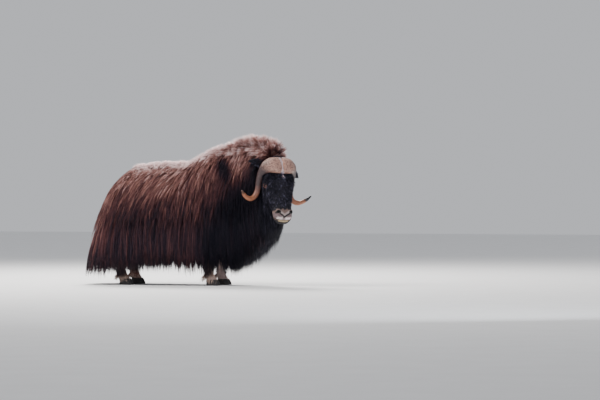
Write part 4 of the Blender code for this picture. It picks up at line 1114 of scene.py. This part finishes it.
def horn_form(side):
    """A horn: flat and broad on the brow, then round, falling past the eye and hooking up."""
    table = [list(row) for row in HORN]
    if side < 0:
        for i, row in enumerate(table):
            row[2] += RIGHT_HOOK_RISE * min(max((i - 7) / 3, 0.0), 1.0)
    rows, at = through(table, 110)
    sides = 44
    rings = []
    for i, (f, w, z, tall, thick) in enumerate(rows):
        before, after = rows[max(i - 1, 0), :3], rows[min(i + 1, len(rows) - 1), :3]
        way = Vector(after - before).normalized()
        if at[i] < 0.06:
            way = Vector((0, 1, 0)).lerp(way, at[i] / 0.06).normalized()
        face_out = (BROW_FACING - way * BROW_FACING.dot(way)).normalized()
        upward = way.cross(face_out)
        grow = 1 + 0.012 * math.sin(at[i] * 95) * smooth(0.10, 0.3, at[i]) * (1 - smooth(0.5, 0.8, at[i]))
        centre = Vector((f, w, z))
        ring = ellipse(centre, face_out * max(thick, 0.002) * grow, upward * max(tall, 0.002) * grow, sides, 0.88)
        rings.append([Vector((p.x, p.y * side, p.z)) for p in ring])
    made = loft("horn_" + ("left" if side > 0 else "right"), rings, LEVEL)
    reach = np.repeat(at, sides)
    points, _, _ = mesh_arrays(made.data)
    if len(points) == len(reach):
        values = reach
    else:
        place = into(LEVEL, points)
        spots = rows[:, :3] * [1, side, 1]
        nearest = ((place[:, None] - spots[None]) ** 2).sum(axis=2).argmin(axis=1)
        values = at[nearest]
    made.data.attributes.new("reach", "FLOAT", "POINT").data.foreach_set("value", values.astype(np.float32))
    return made


def hoof_form(side, word, twin):
    """One toe of a hoof: a wall that slopes out to a flat sole, worn at its edge."""
    x0, y0 = LEGS[word]
    x, y = x0 - CENTRE_X + 0.036, side * y0 - CENTRE_Y + twin * 0.029
    rows = [(0.058, 0.80, -0.006), (0.050, 0.845, -0.005), (0.040, 0.90, -0.003), (0.030, 0.94, 0.0)]
    rows += [(0.018, 0.975, 0.002), (0.008, 1.0, 0.004), (0.003, 0.995, 0.004), (0.0, 0.96, 0.004)]
    table = [profile(*((height, row) for height, row in sorted((r[0], r[k]) for r in rows))) for k in (1, 2)]
    heights = [0.0, 0.0012, 0.003, 0.005] + [0.008 + 0.050 * k / 26 for k in range(27)]
    rings = []
    for z in heights:
        grow, ahead = float(table[0](z)), float(table[1](z))
        grow *= 1 + 0.006 * math.sin(z * 900) * (z > 0.006)
        ring = []
        for k in range(40):
            angle = 2 * math.pi * k / 40
            c, s = math.cos(angle), math.sin(angle)
            long = 0.068 if c > 0 else 0.054
            narrow = 1 - 0.35 * max(c, 0.0) ** 2
            ring.append(Vector((x + ahead + long * grow * c, y + 0.027 * grow * s * narrow, z)))
        rings.append(ring)
    return loft("toe", rings)


def eye_form(side):
    """An eyeball for a wet finish: a plain ball, with how far each point lies to its front kept in an attribute."""
    turn = eye_turn(side)
    made = ball("eye_" + ("left" if side > 0 else "right"), mirrored(EYE_AT, side), (EYE_RADIUS,) * 3, turn, 32, 48)
    points, _, _ = mesh_arrays(made.data)
    look = np.array(eye_turn(side).col[2])
    place = into(SKULL, points) - np.array(mirrored(EYE_AT, side))
    front = (place @ look) / EYE_RADIUS
    made.data.attributes.new("front", "FLOAT", "POINT").data.foreach_set("value", front.astype(np.float32))
    return made


class Finish:
    """A procedural material, built node by node."""

    def __init__(self, name, roughness, specular=0.5):
        self.material = bpy.data.materials.new(name)
        self.material.use_nodes = True
        self.nodes, self.links = self.material.node_tree.nodes, self.material.node_tree.links
        self.shader = self.nodes["Principled BSDF"]
        self.shader.inputs["Roughness"].default_value = roughness
        self.shader.inputs["Specular IOR Level"].default_value = specular
        self.place = self.nodes.new("ShaderNodeTexCoord").outputs["Object"]

    def noise(self, scale, detail=4.0, roughness=0.6, stretch=None):
        node = self.nodes.new("ShaderNodeTexNoise")
        node.inputs["Scale"].default_value = scale
        node.inputs["Detail"].default_value = detail
        node.inputs["Roughness"].default_value = roughness
        place = self.place
        if stretch:
            mapping = self.nodes.new("ShaderNodeMapping")
            mapping.inputs["Scale"].default_value = stretch
            self.links.new(place, mapping.inputs["Vector"])
            place = mapping.outputs["Vector"]
        self.links.new(place, node.inputs["Vector"])
        return node.outputs["Fac"]

    def number(self, name):
        node = self.nodes.new("ShaderNodeAttribute")
        node.attribute_name = name
        return node

    def sum(self, value, other, factor, offset=0.0):
        """value + (other + offset) times factor."""
        shifted = self.nodes.new("ShaderNodeMath")
        shifted.operation = "ADD"
        shifted.inputs[1].default_value = offset
        self.links.new(other, shifted.inputs[0])
        node = self.nodes.new("ShaderNodeMath")
        node.operation = "MULTIPLY_ADD"
        self.links.new(shifted.outputs[0], node.inputs[0])
        node.inputs[1].default_value = factor
        self.links.new(value, node.inputs[2])
        return node.outputs[0]

    def ramp(self, value, stops):
        node = self.nodes.new("ShaderNodeValToRGB")
        elements = node.color_ramp.elements
        while len(elements) < len(stops):
            elements.new(0.5)
        for element, (position, colour) in zip(elements, stops):
            element.position = position
        for element, (position, colour) in zip(elements, stops):
            element.position, element.color = position, (*colour[:3], 1.0)
        self.links.new(value, node.inputs["Fac"])
        return node.outputs["Color"]

    def mix(self, share, first, second, mode="MIX"):
        node = self.nodes.new("ShaderNodeMix")
        node.data_type, node.blend_type = "RGBA", mode
        for socket, value in ((node.inputs[0], share), (node.inputs[6], first), (node.inputs[7], second)):
            if isinstance(value, bpy.types.NodeSocket):
                self.links.new(value, socket)
            elif isinstance(value, float):
                socket.default_value = value
            else:
                socket.default_value = (*value[:3], 1.0)
        return node.outputs[2]

    def colour(self, value):
        self.links.new(value, self.shader.inputs["Base Color"])

    def vary(self, socket, value, low, high):
        node = self.nodes.new("ShaderNodeMapRange")
        node.inputs["To Min"].default_value, node.inputs["To Max"].default_value = low, high
        self.links.new(value, node.inputs["Value"])
        self.links.new(node.outputs["Result"], self.shader.inputs[socket])

    def bump(self, *heights):
        """Bump from (value, strength, distance) triples, one over another."""
        below = None
        for value, strength, distance in heights:
            node = self.nodes.new("ShaderNodeBump")
            node.inputs["Strength"].default_value = strength
            node.inputs["Distance"].default_value = distance
            self.links.new(value, node.inputs["Height"])
            if below:
                self.links.new(below, node.inputs["Normal"])
            below = node.outputs["Normal"]
        self.links.new(below, self.shader.inputs["Normal"])


def coat_stops(colours, darker=1.0):
    """The coat's colours by tone."""
    shades = (colours.black, colours.dusk, colours.brown, colours.russet, colours.cream)
    stops = zip((0.0, 0.25, 0.50, 0.75, 1.0), shades)
    return [(place, tuple(channel * darker for channel in shade)) for place, shade in stops]


def dark_stops(colours, warm):
    """The colours of the face and throat by tone: blue-black, then a cool sheen, then warm or grey."""
    pale = colours.russet if warm else [channel * 3.2 for channel in colours.sheen]
    shades = (colours.black, colours.black, colours.sheen, pale, colours.cream)
    return [(place, tuple(colour)) for place, colour in zip((0.0, 0.10, 0.34, 0.62, 1.0), shades)]


def hair_finish(name, stops, roughness=0.55):
    """Hair with its tone in an attribute, mottled along its length."""
    made = Finish(name, roughness, 0.2)
    tone = made.number("tone").outputs["Fac"]
    tone = made.sum(tone, made.noise(260, 3, 0.7), 0.10, -0.5)
    tone = made.sum(tone, made.noise(24, 3, 0.6), 0.16, -0.5)
    made.colour(made.ramp(tone, stops))
    made.vary("Roughness", made.noise(180, 2), roughness - 0.10, roughness + 0.12)
    made.bump((made.noise(900, 2, 0.5), 0.25, 0.0004))
    return made.material


def skin_finish(colours):
    """Short hair and skin under the coat, and the bare nose, lips and eyelids."""
    made = Finish("hide", 0.62, 0.4)
    tone = made.number("tone").outputs["Fac"]
    fibres = made.noise(420, 4, 0.65, (1.0, 1.0, 0.35))
    tone = made.sum(tone, fibres, 0.12, -0.5)
    hair = made.ramp(tone, coat_stops(colours, 0.55))
    tint = made.number("tint")
    blotch = made.ramp(made.noise(70, 4, 0.6), [(0.3, (0.35, 0.28, 0.26)), (0.7, (1, 1, 1))])
    bare = made.mix(0.35, tint.outputs["Color"], blotch, "MULTIPLY")
    made.colour(made.mix(tint.outputs["Alpha"], hair, bare))
    pores = made.noise(520, 3, 0.6)
    made.bump((pores, 0.45, 0.0012), (fibres, 0.3, 0.001))
    return made.material


def leg_finish(colours):
    """Short dense hair of the legs."""
    made = Finish("leg_fur", 0.7, 0.3)
    tone = made.number("tone").outputs["Fac"]
    stocking = tuple(colours.stocking)
    dark = tuple(channel * 0.45 for channel in stocking)
    pale = tuple(min(channel * 1.35, 1.0) for channel in stocking)
    tone = made.sum(tone, made.noise(90, 4), 0.35, -0.5)
    stops = [(0.0, tuple(colours.black)), (0.25, tuple(colours.dusk)), (0.5, dark), (0.75, stocking), (1.0, pale)]
    made.colour(made.ramp(tone, stops))
    made.bump((made.noise(700, 3, 0.6, (1, 1, 0.4)), 0.35, 0.0008))
    return made.material


def horn_finish(colours, side):
    """Horn: flaky and dull on the boss, dark down the shaft, warm along the hook, dark at the tip."""
    made = Finish("keratin_" + ("left" if side > 0 else "right"), 0.42, 0.5)
    reach = made.number("reach").outputs["Fac"]
    grain = made.noise(60, 6, 0.65, (1, 1, 0.35))
    flakes = made.noise(78, 4, 0.72)
    place = made.sum(reach, grain, 0.07, -0.5)
    horn, amber, black = tuple(colours.horn), tuple(colours.amber), tuple(colours.black)

    def times(colour, factor):
        return tuple(min(channel * factor, 1.0) for channel in colour)

    inner = times(horn, 1.25) if side < 0 else times(amber, 1.35)
    shaft = (horn[0] * 0.145, horn[1] * 0.135, horn[2] * 0.18)
    tip = times(amber, 0.3) if side < 0 else black
    tip_start = 0.955 if side < 0 else 0.91
    stops = [(0.0, inner), (0.018, inner), (0.038, times(horn, 1.25)), (0.15, horn), (0.27, shaft), (0.50, shaft)]
    stops += [(0.62, (0.23, 0.10, 0.075)), (0.74, amber), (tip_start - 0.03, times(amber, 1.2)), (tip_start, tip)]
    base = made.ramp(place, stops)
    shade = made.ramp(flakes, [(0.38, (0.14, 0.10, 0.10)), (0.46, (0.48, 0.41, 0.40)), (0.54, (1, 1, 1))])
    rough = made.ramp(reach, [(0.20, (0.92, 0.92, 0.92)), (0.45, (0.28, 0.28, 0.28))])
    made.colour(made.mix(rough, base, shade, "MULTIPLY"))
    made.vary("Roughness", grain, 0.30, 0.62)
    made.bump((grain, 0.6, 0.004), (flakes, 0.8, 0.003))
    return made.material


def hoof_finish(colours):
    """Dark hoof horn with faint growth lines."""
    made = Finish("hoof_horn", 0.48, 0.45)
    grain = made.noise(240, 4, 0.6, (0.5, 0.5, 3.0))
    black = tuple(colours.black)
    made.colour(made.ramp(grain, [(0.3, black), (0.7, (0.045, 0.036, 0.030))]))
    made.vary("Roughness", made.noise(90), 0.36, 0.68)
    made.bump((grain, 0.5, 0.0012))
    return made.material


def eye_finish():
    """A wet eye: a dark brown iris round a near-black pupil."""
    made = Finish("wet_eye", 0.10, 0.15)
    made.shader.inputs["Coat Weight"].default_value = 0.22
    made.shader.inputs["Coat Roughness"].default_value = 0.03
    front = made.number("front").outputs["Fac"]
    stops = [(0.55, (0.06, 0.045, 0.036)), (0.72, (0.016, 0.008, 0.005))]
    stops += [(0.88, (0.030, 0.013, 0.007)), (0.93, (0.002, 0.002, 0.002))]
    made.colour(made.ramp(front, stops))
    made.bump((made.noise(1200, 2), 0.05, 0.0002))
    return made.material


def floor_finish():
    made = Finish("studio_floor", 0.85, 0.2)
    made.colour(made.ramp(made.noise(3, 3), [(0.3, (0.80, 0.80, 0.80)), (0.7, (0.84, 0.84, 0.84))]))
    return made.material


SIDES = {"left": 1, "right": -1}
SPANS = {
    "rump": (FAN_END, -0.06),
    "haunch": (-0.06, 0.30),
    "flank": (0.30, 0.66),
    "shoulder": (0.66, 1.06),
    "neck": (1.06, 1.47),
}
FLESH = ["beard", "head", "neck", "ear_left", "ear_right"]
FLESH += [f"{part}_{side}" for part in ("rump", "haunch", "flank", "shoulder") for side in SIDES]
FLESH += [f"leg_{word}_{side}" for word in LEGS for side in SIDES]


def draw_for(context, salt):
    return np.random.default_rng([context.scene.muskox_coat.seed, salt])


def tree_of(obj):
    points = [tuple(vertex.co) for vertex in obj.data.vertices]
    return BVHTree.FromPolygons(points, [tuple(face.vertices) for face in obj.data.polygons])


def shade_points(mesh, names):
    """Writes what names computes at the mesh's points as its attributes."""
    points, _, _ = mesh_arrays(mesh)
    for key, (kind, field, function) in names.items():
        values = function(points)
        mesh.attributes.new(key, kind, "POINT").data.foreach_set(field, values.astype(np.float32).ravel())


class MUSKOX_OT_skin(bpy.types.Operator):
    """Makes the one skin of head, body, ears and legs, under the depth of the coat"""

    bl_idname = "muskox.skin"
    bl_label = "Skin"

    def execute(self, context):
        bpy.ops.object.select_all(action="DESELECT")
        hide = face_form()
        rings = [
            ellipse(
                Vector((f, 0, (high + low) / 2)),
                Vector((0, wide - 0.03, 0)),
                Vector((0, 0, (high - low) / 2 - 0.03)),
                24,
            )
            for f, high, low, wide in BEARD[:4]
        ]
        parts = [body_form(), loft("jowl", rings, LEVEL)]
        parts += [ear_form(side) for side in SIDES.values()]
        parts += [leg_form(word, side) for word in LEGS for side in SIDES.values()]
        fused(hide, parts)
        if not hide.data.polygons:
            raise RuntimeError("the skin came out empty")
        shade_points(hide.data, {
            "tone": ("FLOAT", "value", skin_tone),
            "tint": ("FLOAT_COLOR", "color", muzzle_tint),
        })
        hide.name = hide.data.name = "hide"
        hide.data.materials.clear()
        hide.data.materials.append(skin_finish(context.scene.muskox_colours))
        picked(hide)
        bpy.ops.object.shade_smooth_by_angle(angle=math.radians(60))
        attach(hide, "root")
        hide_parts(*FLESH)
        return {"FINISHED"}


class MUSKOX_OT_horns(bpy.types.Operator):
    """Makes the two horns with their boss"""

    bl_idname = "muskox.horns"
    bl_label = "Horns"

    def execute(self, context):
        for word, side in SIDES.items():
            made = horn_form(side)
            node = f"horn_{word}"
            made.name = f"keratin_horn_{word}"
            made.data.materials.clear()
            made.data.materials.append(horn_finish(context.scene.muskox_colours, side))
            made.data.shade_smooth()
            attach(made, "root")
            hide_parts(node)
        return {"FINISHED"}


class MUSKOX_OT_eyes(bpy.types.Operator):
    """Makes the two eyes"""

    bl_idname = "muskox.eyes"
    bl_label = "Eyes"

    def execute(self, context):
        finish = eye_finish()
        for word, side in SIDES.items():
            made = eye_form(side)
            made.name = f"eyeball_{word}"
            made.data.materials.clear()
            made.data.materials.append(finish)
            made.data.shade_smooth()
            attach(made, "root")
            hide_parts(f"eye_{word}")
        return {"FINISHED"}


class MUSKOX_OT_hooves(bpy.types.Operator):
    """Makes the eight toes of the hooves"""

    bl_idname = "muskox.hooves"
    bl_label = "Hooves"

    def execute(self, context):
        finish = hoof_finish(context.scene.muskox_colours)
        for word in LEGS:
            for label, side in SIDES.items():
                for twin in (1, -1):
                    made = hoof_form(side, word, twin)
                    place = f"{word}_{label}_" + ("inner" if twin == -side else "outer")
                    made.name = f"toe_{place}"
                    made.data.materials.clear()
                    made.data.materials.append(finish)
                    made.data.shade_smooth()
                    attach(made, "root")
                    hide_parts(f"hoof_{place}")
        return {"FINISHED"}


def guards():
    """Search trees of what the coat keeps out of: the horns."""
    return [tree_of(bpy.data.objects[f"keratin_horn_{word}"]) for word in SIDES]


def kept(strands, good):
    return tuple(array[good] for array in strands)


def laid(name, strands, finish):
    """Makes a coat piece from its strands."""
    spine, facing, half, thick, uv, tone = strands
    thick = np.broadcast_to(thick, half.shape)
    mesh = hair_mesh(name, spine, facing, half, thick, np.clip(uv, 0.004, 0.996), tone)
    made = bpy.data.objects.new(name, mesh)
    bpy.context.scene.collection.objects.link(made)
    mesh.materials.append(finish)
    mesh.shade_smooth()
    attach(made, "root")


class MUSKOX_OT_body_coat(bpy.types.Operator):
    """Lays the long coat of the rump, flanks, shoulders and neck"""

    bl_idname = "muskox.body_coat"
    bl_label = "Body coat"

    def execute(self, context):
        settings = context.scene.muskox_coat
        finish = hair_finish("long_coat_hair", coat_stops(context.scene.muskox_colours))
        trees = guards()
        for i, (part, (a0, a1)) in enumerate(SPANS.items()):
            for word, side in SIDES.items():
                draw = draw_for(context, 10 * (i + 1) + side)
                strands = hung_strands(draw, side, a0, a1, settings)
                if part == "neck" or part == "shoulder":
                    strands = kept(strands, clear_of_head(strands[0], trees))
                laid(f"coat_{part}_{word}", strands, finish)
        for word, side in SIDES.items():
            strands = crest_strands(draw_for(context, 80 + side), side, settings)
            strands = kept(strands, clear_of_head(strands[0], trees))
            laid(f"coat_crest_{word}", strands, finish)
        return {"FINISHED"}


class MUSKOX_OT_throat_coat(bpy.types.Operator):
    """Lays the curtain of hair below the neck and the beard under the jaw"""

    bl_idname = "muskox.throat_coat"
    bl_label = "Throat and beard"

    def execute(self, context):
        settings = context.scene.muskox_coat
        finish = hair_finish("throat_hair", dark_stops(context.scene.muskox_colours, True))
        laid("coat_chest", chest_strands(draw_for(context, 101), settings), finish)
        strands = beard_strands(draw_for(context, 102), settings)
        laid("coat_beard", strands, finish)
        return {"FINISHED"}


def leg_tone(points):
    """Tone of the legs: dark on their outer sides, as the hair that falls over them, pale inside."""
    outside = smooth(-0.005, 0.032, np.abs(points[:, 1] + CENTRE_Y) - 0.15)
    outside = outside * smooth(0.07, 0.16, points[:, 2])
    inside = np.where(points[:, 0] > -0.3, 0.96, 0.80 - 0.50 * smooth(0.08, 0.17, points[:, 2]))
    return inside * (1 - outside) + 0.22 * outside


def skin_tone(points):
    """Tone of the skin: as the hair's on body and head, and the pale legs' own below the coat."""
    tone = hide_tone(points)
    leg = 1 - smooth(0.34, 0.46, points[:, 2])
    return tone * (1 - leg) + leg_tone(points) * leg


class MUSKOX_OT_head_coat(bpy.types.Operator):
    """Lays the short fur of the face, the curls of the crown and the fringes of the ears"""

    bl_idname = "muskox.head_coat"
    bl_label = "Head coat"

    def execute(self, context):
        settings = context.scene.muskox_coat
        hide = mesh_arrays(bpy.data.objects["hide"].data)
        finish = hair_finish("face_hair", dark_stops(context.scene.muskox_colours, False), 0.48)
        draw = draw_for(context, 201)
        down = np.array([0.0, 0.0, -1.0])

        def on_ear(points):
            level = into(LEVEL, points)
            wide = (np.abs(level[:, 1]) > 0.130) & (level[:, 0] < -0.085) & (level[:, 0] > -0.24)
            return wide & (level[:, 2] > -0.15) & (level[:, 2] < 0.12)

        def on_face(points):
            place = into(SKULL, points)
            level = into(LEVEL, points)
            x, side = place[:, 0], np.abs(place[:, 1])
            under_boss = (x < 0.045) & (side < 0.09) & (level[:, 2] < 0.0)
            crown = (level[:, 2] > -0.03) & (level[:, 0] > -0.15)
            good = (((x > 0.012) & (level[:, 0] > -0.13)) | crown) & ~under_boss & (x < 0.50)
            good &= points[:, 2] > 0.60
            eye = np.sqrt((x - EYE_AT.x) ** 2 + (side - EYE_AT.y) ** 2 + (place[:, 2] - EYE_AT.z) ** 2)
            good &= eye > EYE_RADIUS + 0.010
            good &= muzzle_tint(points)[:, 3] < 0.55
            return (good & (level[:, 2] < 0.10)) | on_ear(points)

        def flow(points):
            place = into(SKULL, points)
            out = np.zeros_like(place)
            x, y, z = place.T
            swirl = 0.55 * np.sin(46 * x + 33 * y + 1.3) + 0.45 * np.sin(71 * y - 58 * x + 25 * z)
            out[:, 0] = 1.0
            out[:, 1] = 0.9 * np.sign(y) * smooth(0.02, 0.14, np.abs(y)) + 0.75 * swirl
            lie = unit(turned(SKULL, out))
            low = smooth(-0.06, -0.20, z)[:, None]
            lie = unit(lie * (1 - 0.7 * low) + down * 1.2 * low)
            ear = on_ear(points)
            outwards = turned(LEVEL, np.stack([0 * y, np.sign(y), 0 * y], axis=-1))
            lie[ear] = outwards[ear] + 0.2 * down
            return lie

        def reach(points):
            place = into(SKULL, points)
            x, side, z = place[:, 0], np.abs(place[:, 1]), place[:, 2]
            long = 0.021 + 0.022 * (1 - smooth(0.02, 0.12, x)) + 0.035 * smooth(-0.10, -0.20, z)
            long = long + 0.016 * smooth(0.06, 0.12, side) * (1 - smooth(0.28, 0.40, x))
            long = long + 0.022 * brow_share(place)
            long = long * (1 - 0.72 * smooth(0.34, 0.43, x))
            return np.where(on_ear(points), 0.018, long)

        def lean(points):
            place = into(SKULL, points)
            x, y = place[:, 0], place[:, 1]
            tufted = 0.5 + 0.5 * np.sin(85 * x + 20 * np.sin(37 * y)) * np.sin(78 * y + 9)
            stand = 0.30 + 0.35 * tufted + 0.12 * smooth(0.05, 0.13, np.abs(y))
            return np.where(on_ear(points), 0.15, stand * (1 - 0.4 * smooth(0.30, 0.42, x)))

        root, spine, facing, half = grown_strands(
            draw, hide, on_face, settings.fur_pitch, flow, reach, 3, 0.0019, lean
        )
        owner, tufts = tufted(draw, root, spine, 0.13, 0.50)
        streak = np.minimum(np.abs(draw.normal(0, 0.15, tufts)), 0.32)[owner] + draw.normal(0, 0.04, len(root))
        streak *= 1 - 0.75 * brow_share(into(SKULL, root))
        tone = head_tone(root)[:, None] - 0.03 + streak[:, None] + 0.10 * np.linspace(0, 1, 4)
        strands = (spine, facing, half, half * 0.6, head_uv(root), np.clip(tone, 0, 1))
        laid("coat_face", strands, finish)
        laid("coat_groove", groove_strands(draw), finish)
        return {"FINISHED"}


class MUSKOX_OT_leg_coat(bpy.types.Operator):
    """Lays the short pale fur of the legs and its fringe over the hooves"""

    bl_idname = "muskox.leg_coat"
    bl_label = "Leg coat"

    def execute(self, context):
        settings = context.scene.muskox_coat
        hide = mesh_arrays(bpy.data.objects["hide"].data)
        draw = draw_for(context, 301)

        def on_leg(points):
            return points[:, 2] < 0.42

        def flow(points):
            return np.broadcast_to(np.array([0.0, 0.0, -1.0]), points.shape).copy()

        def outer(points):
            return smooth(-0.005, 0.03, np.abs(points[:, 1] + CENTRE_Y) - 0.15)

        def reach(points):
            height = points[:, 2]
            short = 0.014 + 0.016 * (1 - smooth(0.06, 0.10, height)) + 0.02 * smooth(0.28, 0.42, height)
            return short + outer(points) * (0.03 + 0.11 * smooth(0.10, 0.24, height))

        def lean(points):
            return 0.16 + 0.05 * outer(points)

        root, spine, facing, half = grown_strands(
            draw, hide, on_leg, settings.leg_pitch, flow, reach, 3, 0.0018, lean
        )
        n = len(root)
        spine[..., 2] = np.maximum(spine[..., 2], 0.012)
        tone = leg_tone(root)[:, None] + draw.normal(0, 0.06, n)[:, None] + 0.06 * np.linspace(0, 1, 4)
        leg_u = 0.25 + 0.5 * (root[:, 0] > 0) + 0.10 * np.arctan2(root[:, 1], root[:, 0] - np.round(root[:, 0], 1)) / 3.2
        uv = np.stack([leg_u, root[:, 2] / 0.5], axis=-1)
        strands = (spine, facing, half, half * 0.6, uv, np.clip(tone, 0, 1))
        laid("coat_legs", strands, leg_finish(context.scene.muskox_colours))
        return {"FINISHED"}


class MUSKOX_OT_stage(bpy.types.Operator):
    """Sets the camera, the floor and the studio light"""

    bl_idname = "muskox.stage"
    bl_label = "Stage"

    def execute(self, context):
        settings = context.scene.muskox_stage
        scene = context.scene
        bpy.ops.object.select_all(action="DESELECT")
        bpy.ops.mesh.primitive_plane_add(size=60, location=(0, 0, 0))
        floor = context.object
        floor.name = "floor"
        floor.data.materials.append(floor_finish())
        aim = Vector((0.909, 0.380, 0.825))
        a, e = settings.azimuth, settings.elevation
        way = Vector((math.sin(a) * math.cos(e), -math.cos(a) * math.cos(e), math.sin(e)))
        camera = bpy.data.cameras.new("camera")
        camera.lens_unit = "FOV"
        camera.angle = 2 * math.atan(settings.view_width / 2 / settings.distance)
        camera.clip_end = 200
        eye = bpy.data.objects.new("camera", camera)
        eye.location = aim + way * settings.distance
        eye.rotation_euler = (-way).to_track_quat("-Z", "Y").to_euler()
        scene.collection.objects.link(eye)
        scene.camera = eye
        world = bpy.data.worlds.new("studio")
        world.use_nodes = True
        world.node_tree.nodes["Background"].inputs["Color"].default_value = (0.93, 0.95, 1.0, 1.0)
        world.node_tree.nodes["Background"].inputs["Strength"].default_value = 0.62
        scene.world = world
        lights = (
            ("key", (-3.0, -2.6, 6.0), 3.5, 470.0, (1.0, 0.96, 0.92)),
            ("rim", (-2.0, 3.6, 6.0), 3.5, 980.0, (1.0, 0.97, 0.94)),
            ("fill", (5.0, -6.0, 2.5), 4.0, 90.0, (0.90, 0.95, 1.0)),
        )
        for name, place, size, power, colour in lights:
            lamp = bpy.data.lights.new(name, "AREA")
            lamp.shape, lamp.size, lamp.energy, lamp.color = "DISK", size, power, colour
            lit = bpy.data.objects.new(name, lamp)
            lit.location = place
            lit.rotation_euler = (Vector((0, 0, 0.8)) - Vector(place)).to_track_quat("-Z", "Y").to_euler()
            scene.collection.objects.link(lit)
        return {"FINISHED"}


class MUSKOX_PT_parts(bpy.types.Panel):
    """Lists the pieces of the muskox"""

    bl_label = "Muskox"
    bl_idname = "MUSKOX_PT_parts"
    bl_space_type = "VIEW_3D"
    bl_region_type = "UI"
    bl_category = "Muskox"

    def draw(self, context):
        for group in (context.scene.muskox_coat, context.scene.muskox_colours, context.scene.muskox_stage):
            box = self.layout.box()
            for name in group.bl_rna.properties.keys():
                if name not in ("rna_type", "name"):
                    box.prop(group, name)
        for step in STEPS:
            self.layout.operator(step.bl_idname)


STEPS = (
    MUSKOX_OT_skin,
    MUSKOX_OT_horns,
    MUSKOX_OT_eyes,
    MUSKOX_OT_hooves,
    MUSKOX_OT_body_coat,
    MUSKOX_OT_throat_coat,
    MUSKOX_OT_head_coat,
    MUSKOX_OT_leg_coat,
    MUSKOX_OT_stage,
)
GROUPS = (MuskoxCoat, MuskoxColours, MuskoxStage)


def register():
    for kind in (*GROUPS, *STEPS, MUSKOX_PT_parts):
        bpy.utils.register_class(kind)
    bpy.types.Scene.muskox_coat = PointerProperty(type=MuskoxCoat)
    bpy.types.Scene.muskox_colours = PointerProperty(type=MuskoxColours)
    bpy.types.Scene.muskox_stage = PointerProperty(type=MuskoxStage)


def unregister():
    del bpy.types.Scene.muskox_stage
    del bpy.types.Scene.muskox_colours
    del bpy.types.Scene.muskox_coat
    for kind in reversed((*GROUPS, *STEPS, MUSKOX_PT_parts)):
        bpy.utils.unregister_class(kind)


def main():
    register()
    bpy.ops.muskox.skin()
    bpy.ops.muskox.horns()
    bpy.ops.muskox.eyes()
    bpy.ops.muskox.hooves()
    bpy.ops.muskox.body_coat()
    bpy.ops.muskox.throat_coat()
    bpy.ops.muskox.head_coat()
    bpy.ops.muskox.leg_coat()
    bpy.ops.muskox.stage()


if __name__ == "__main__":
    main()
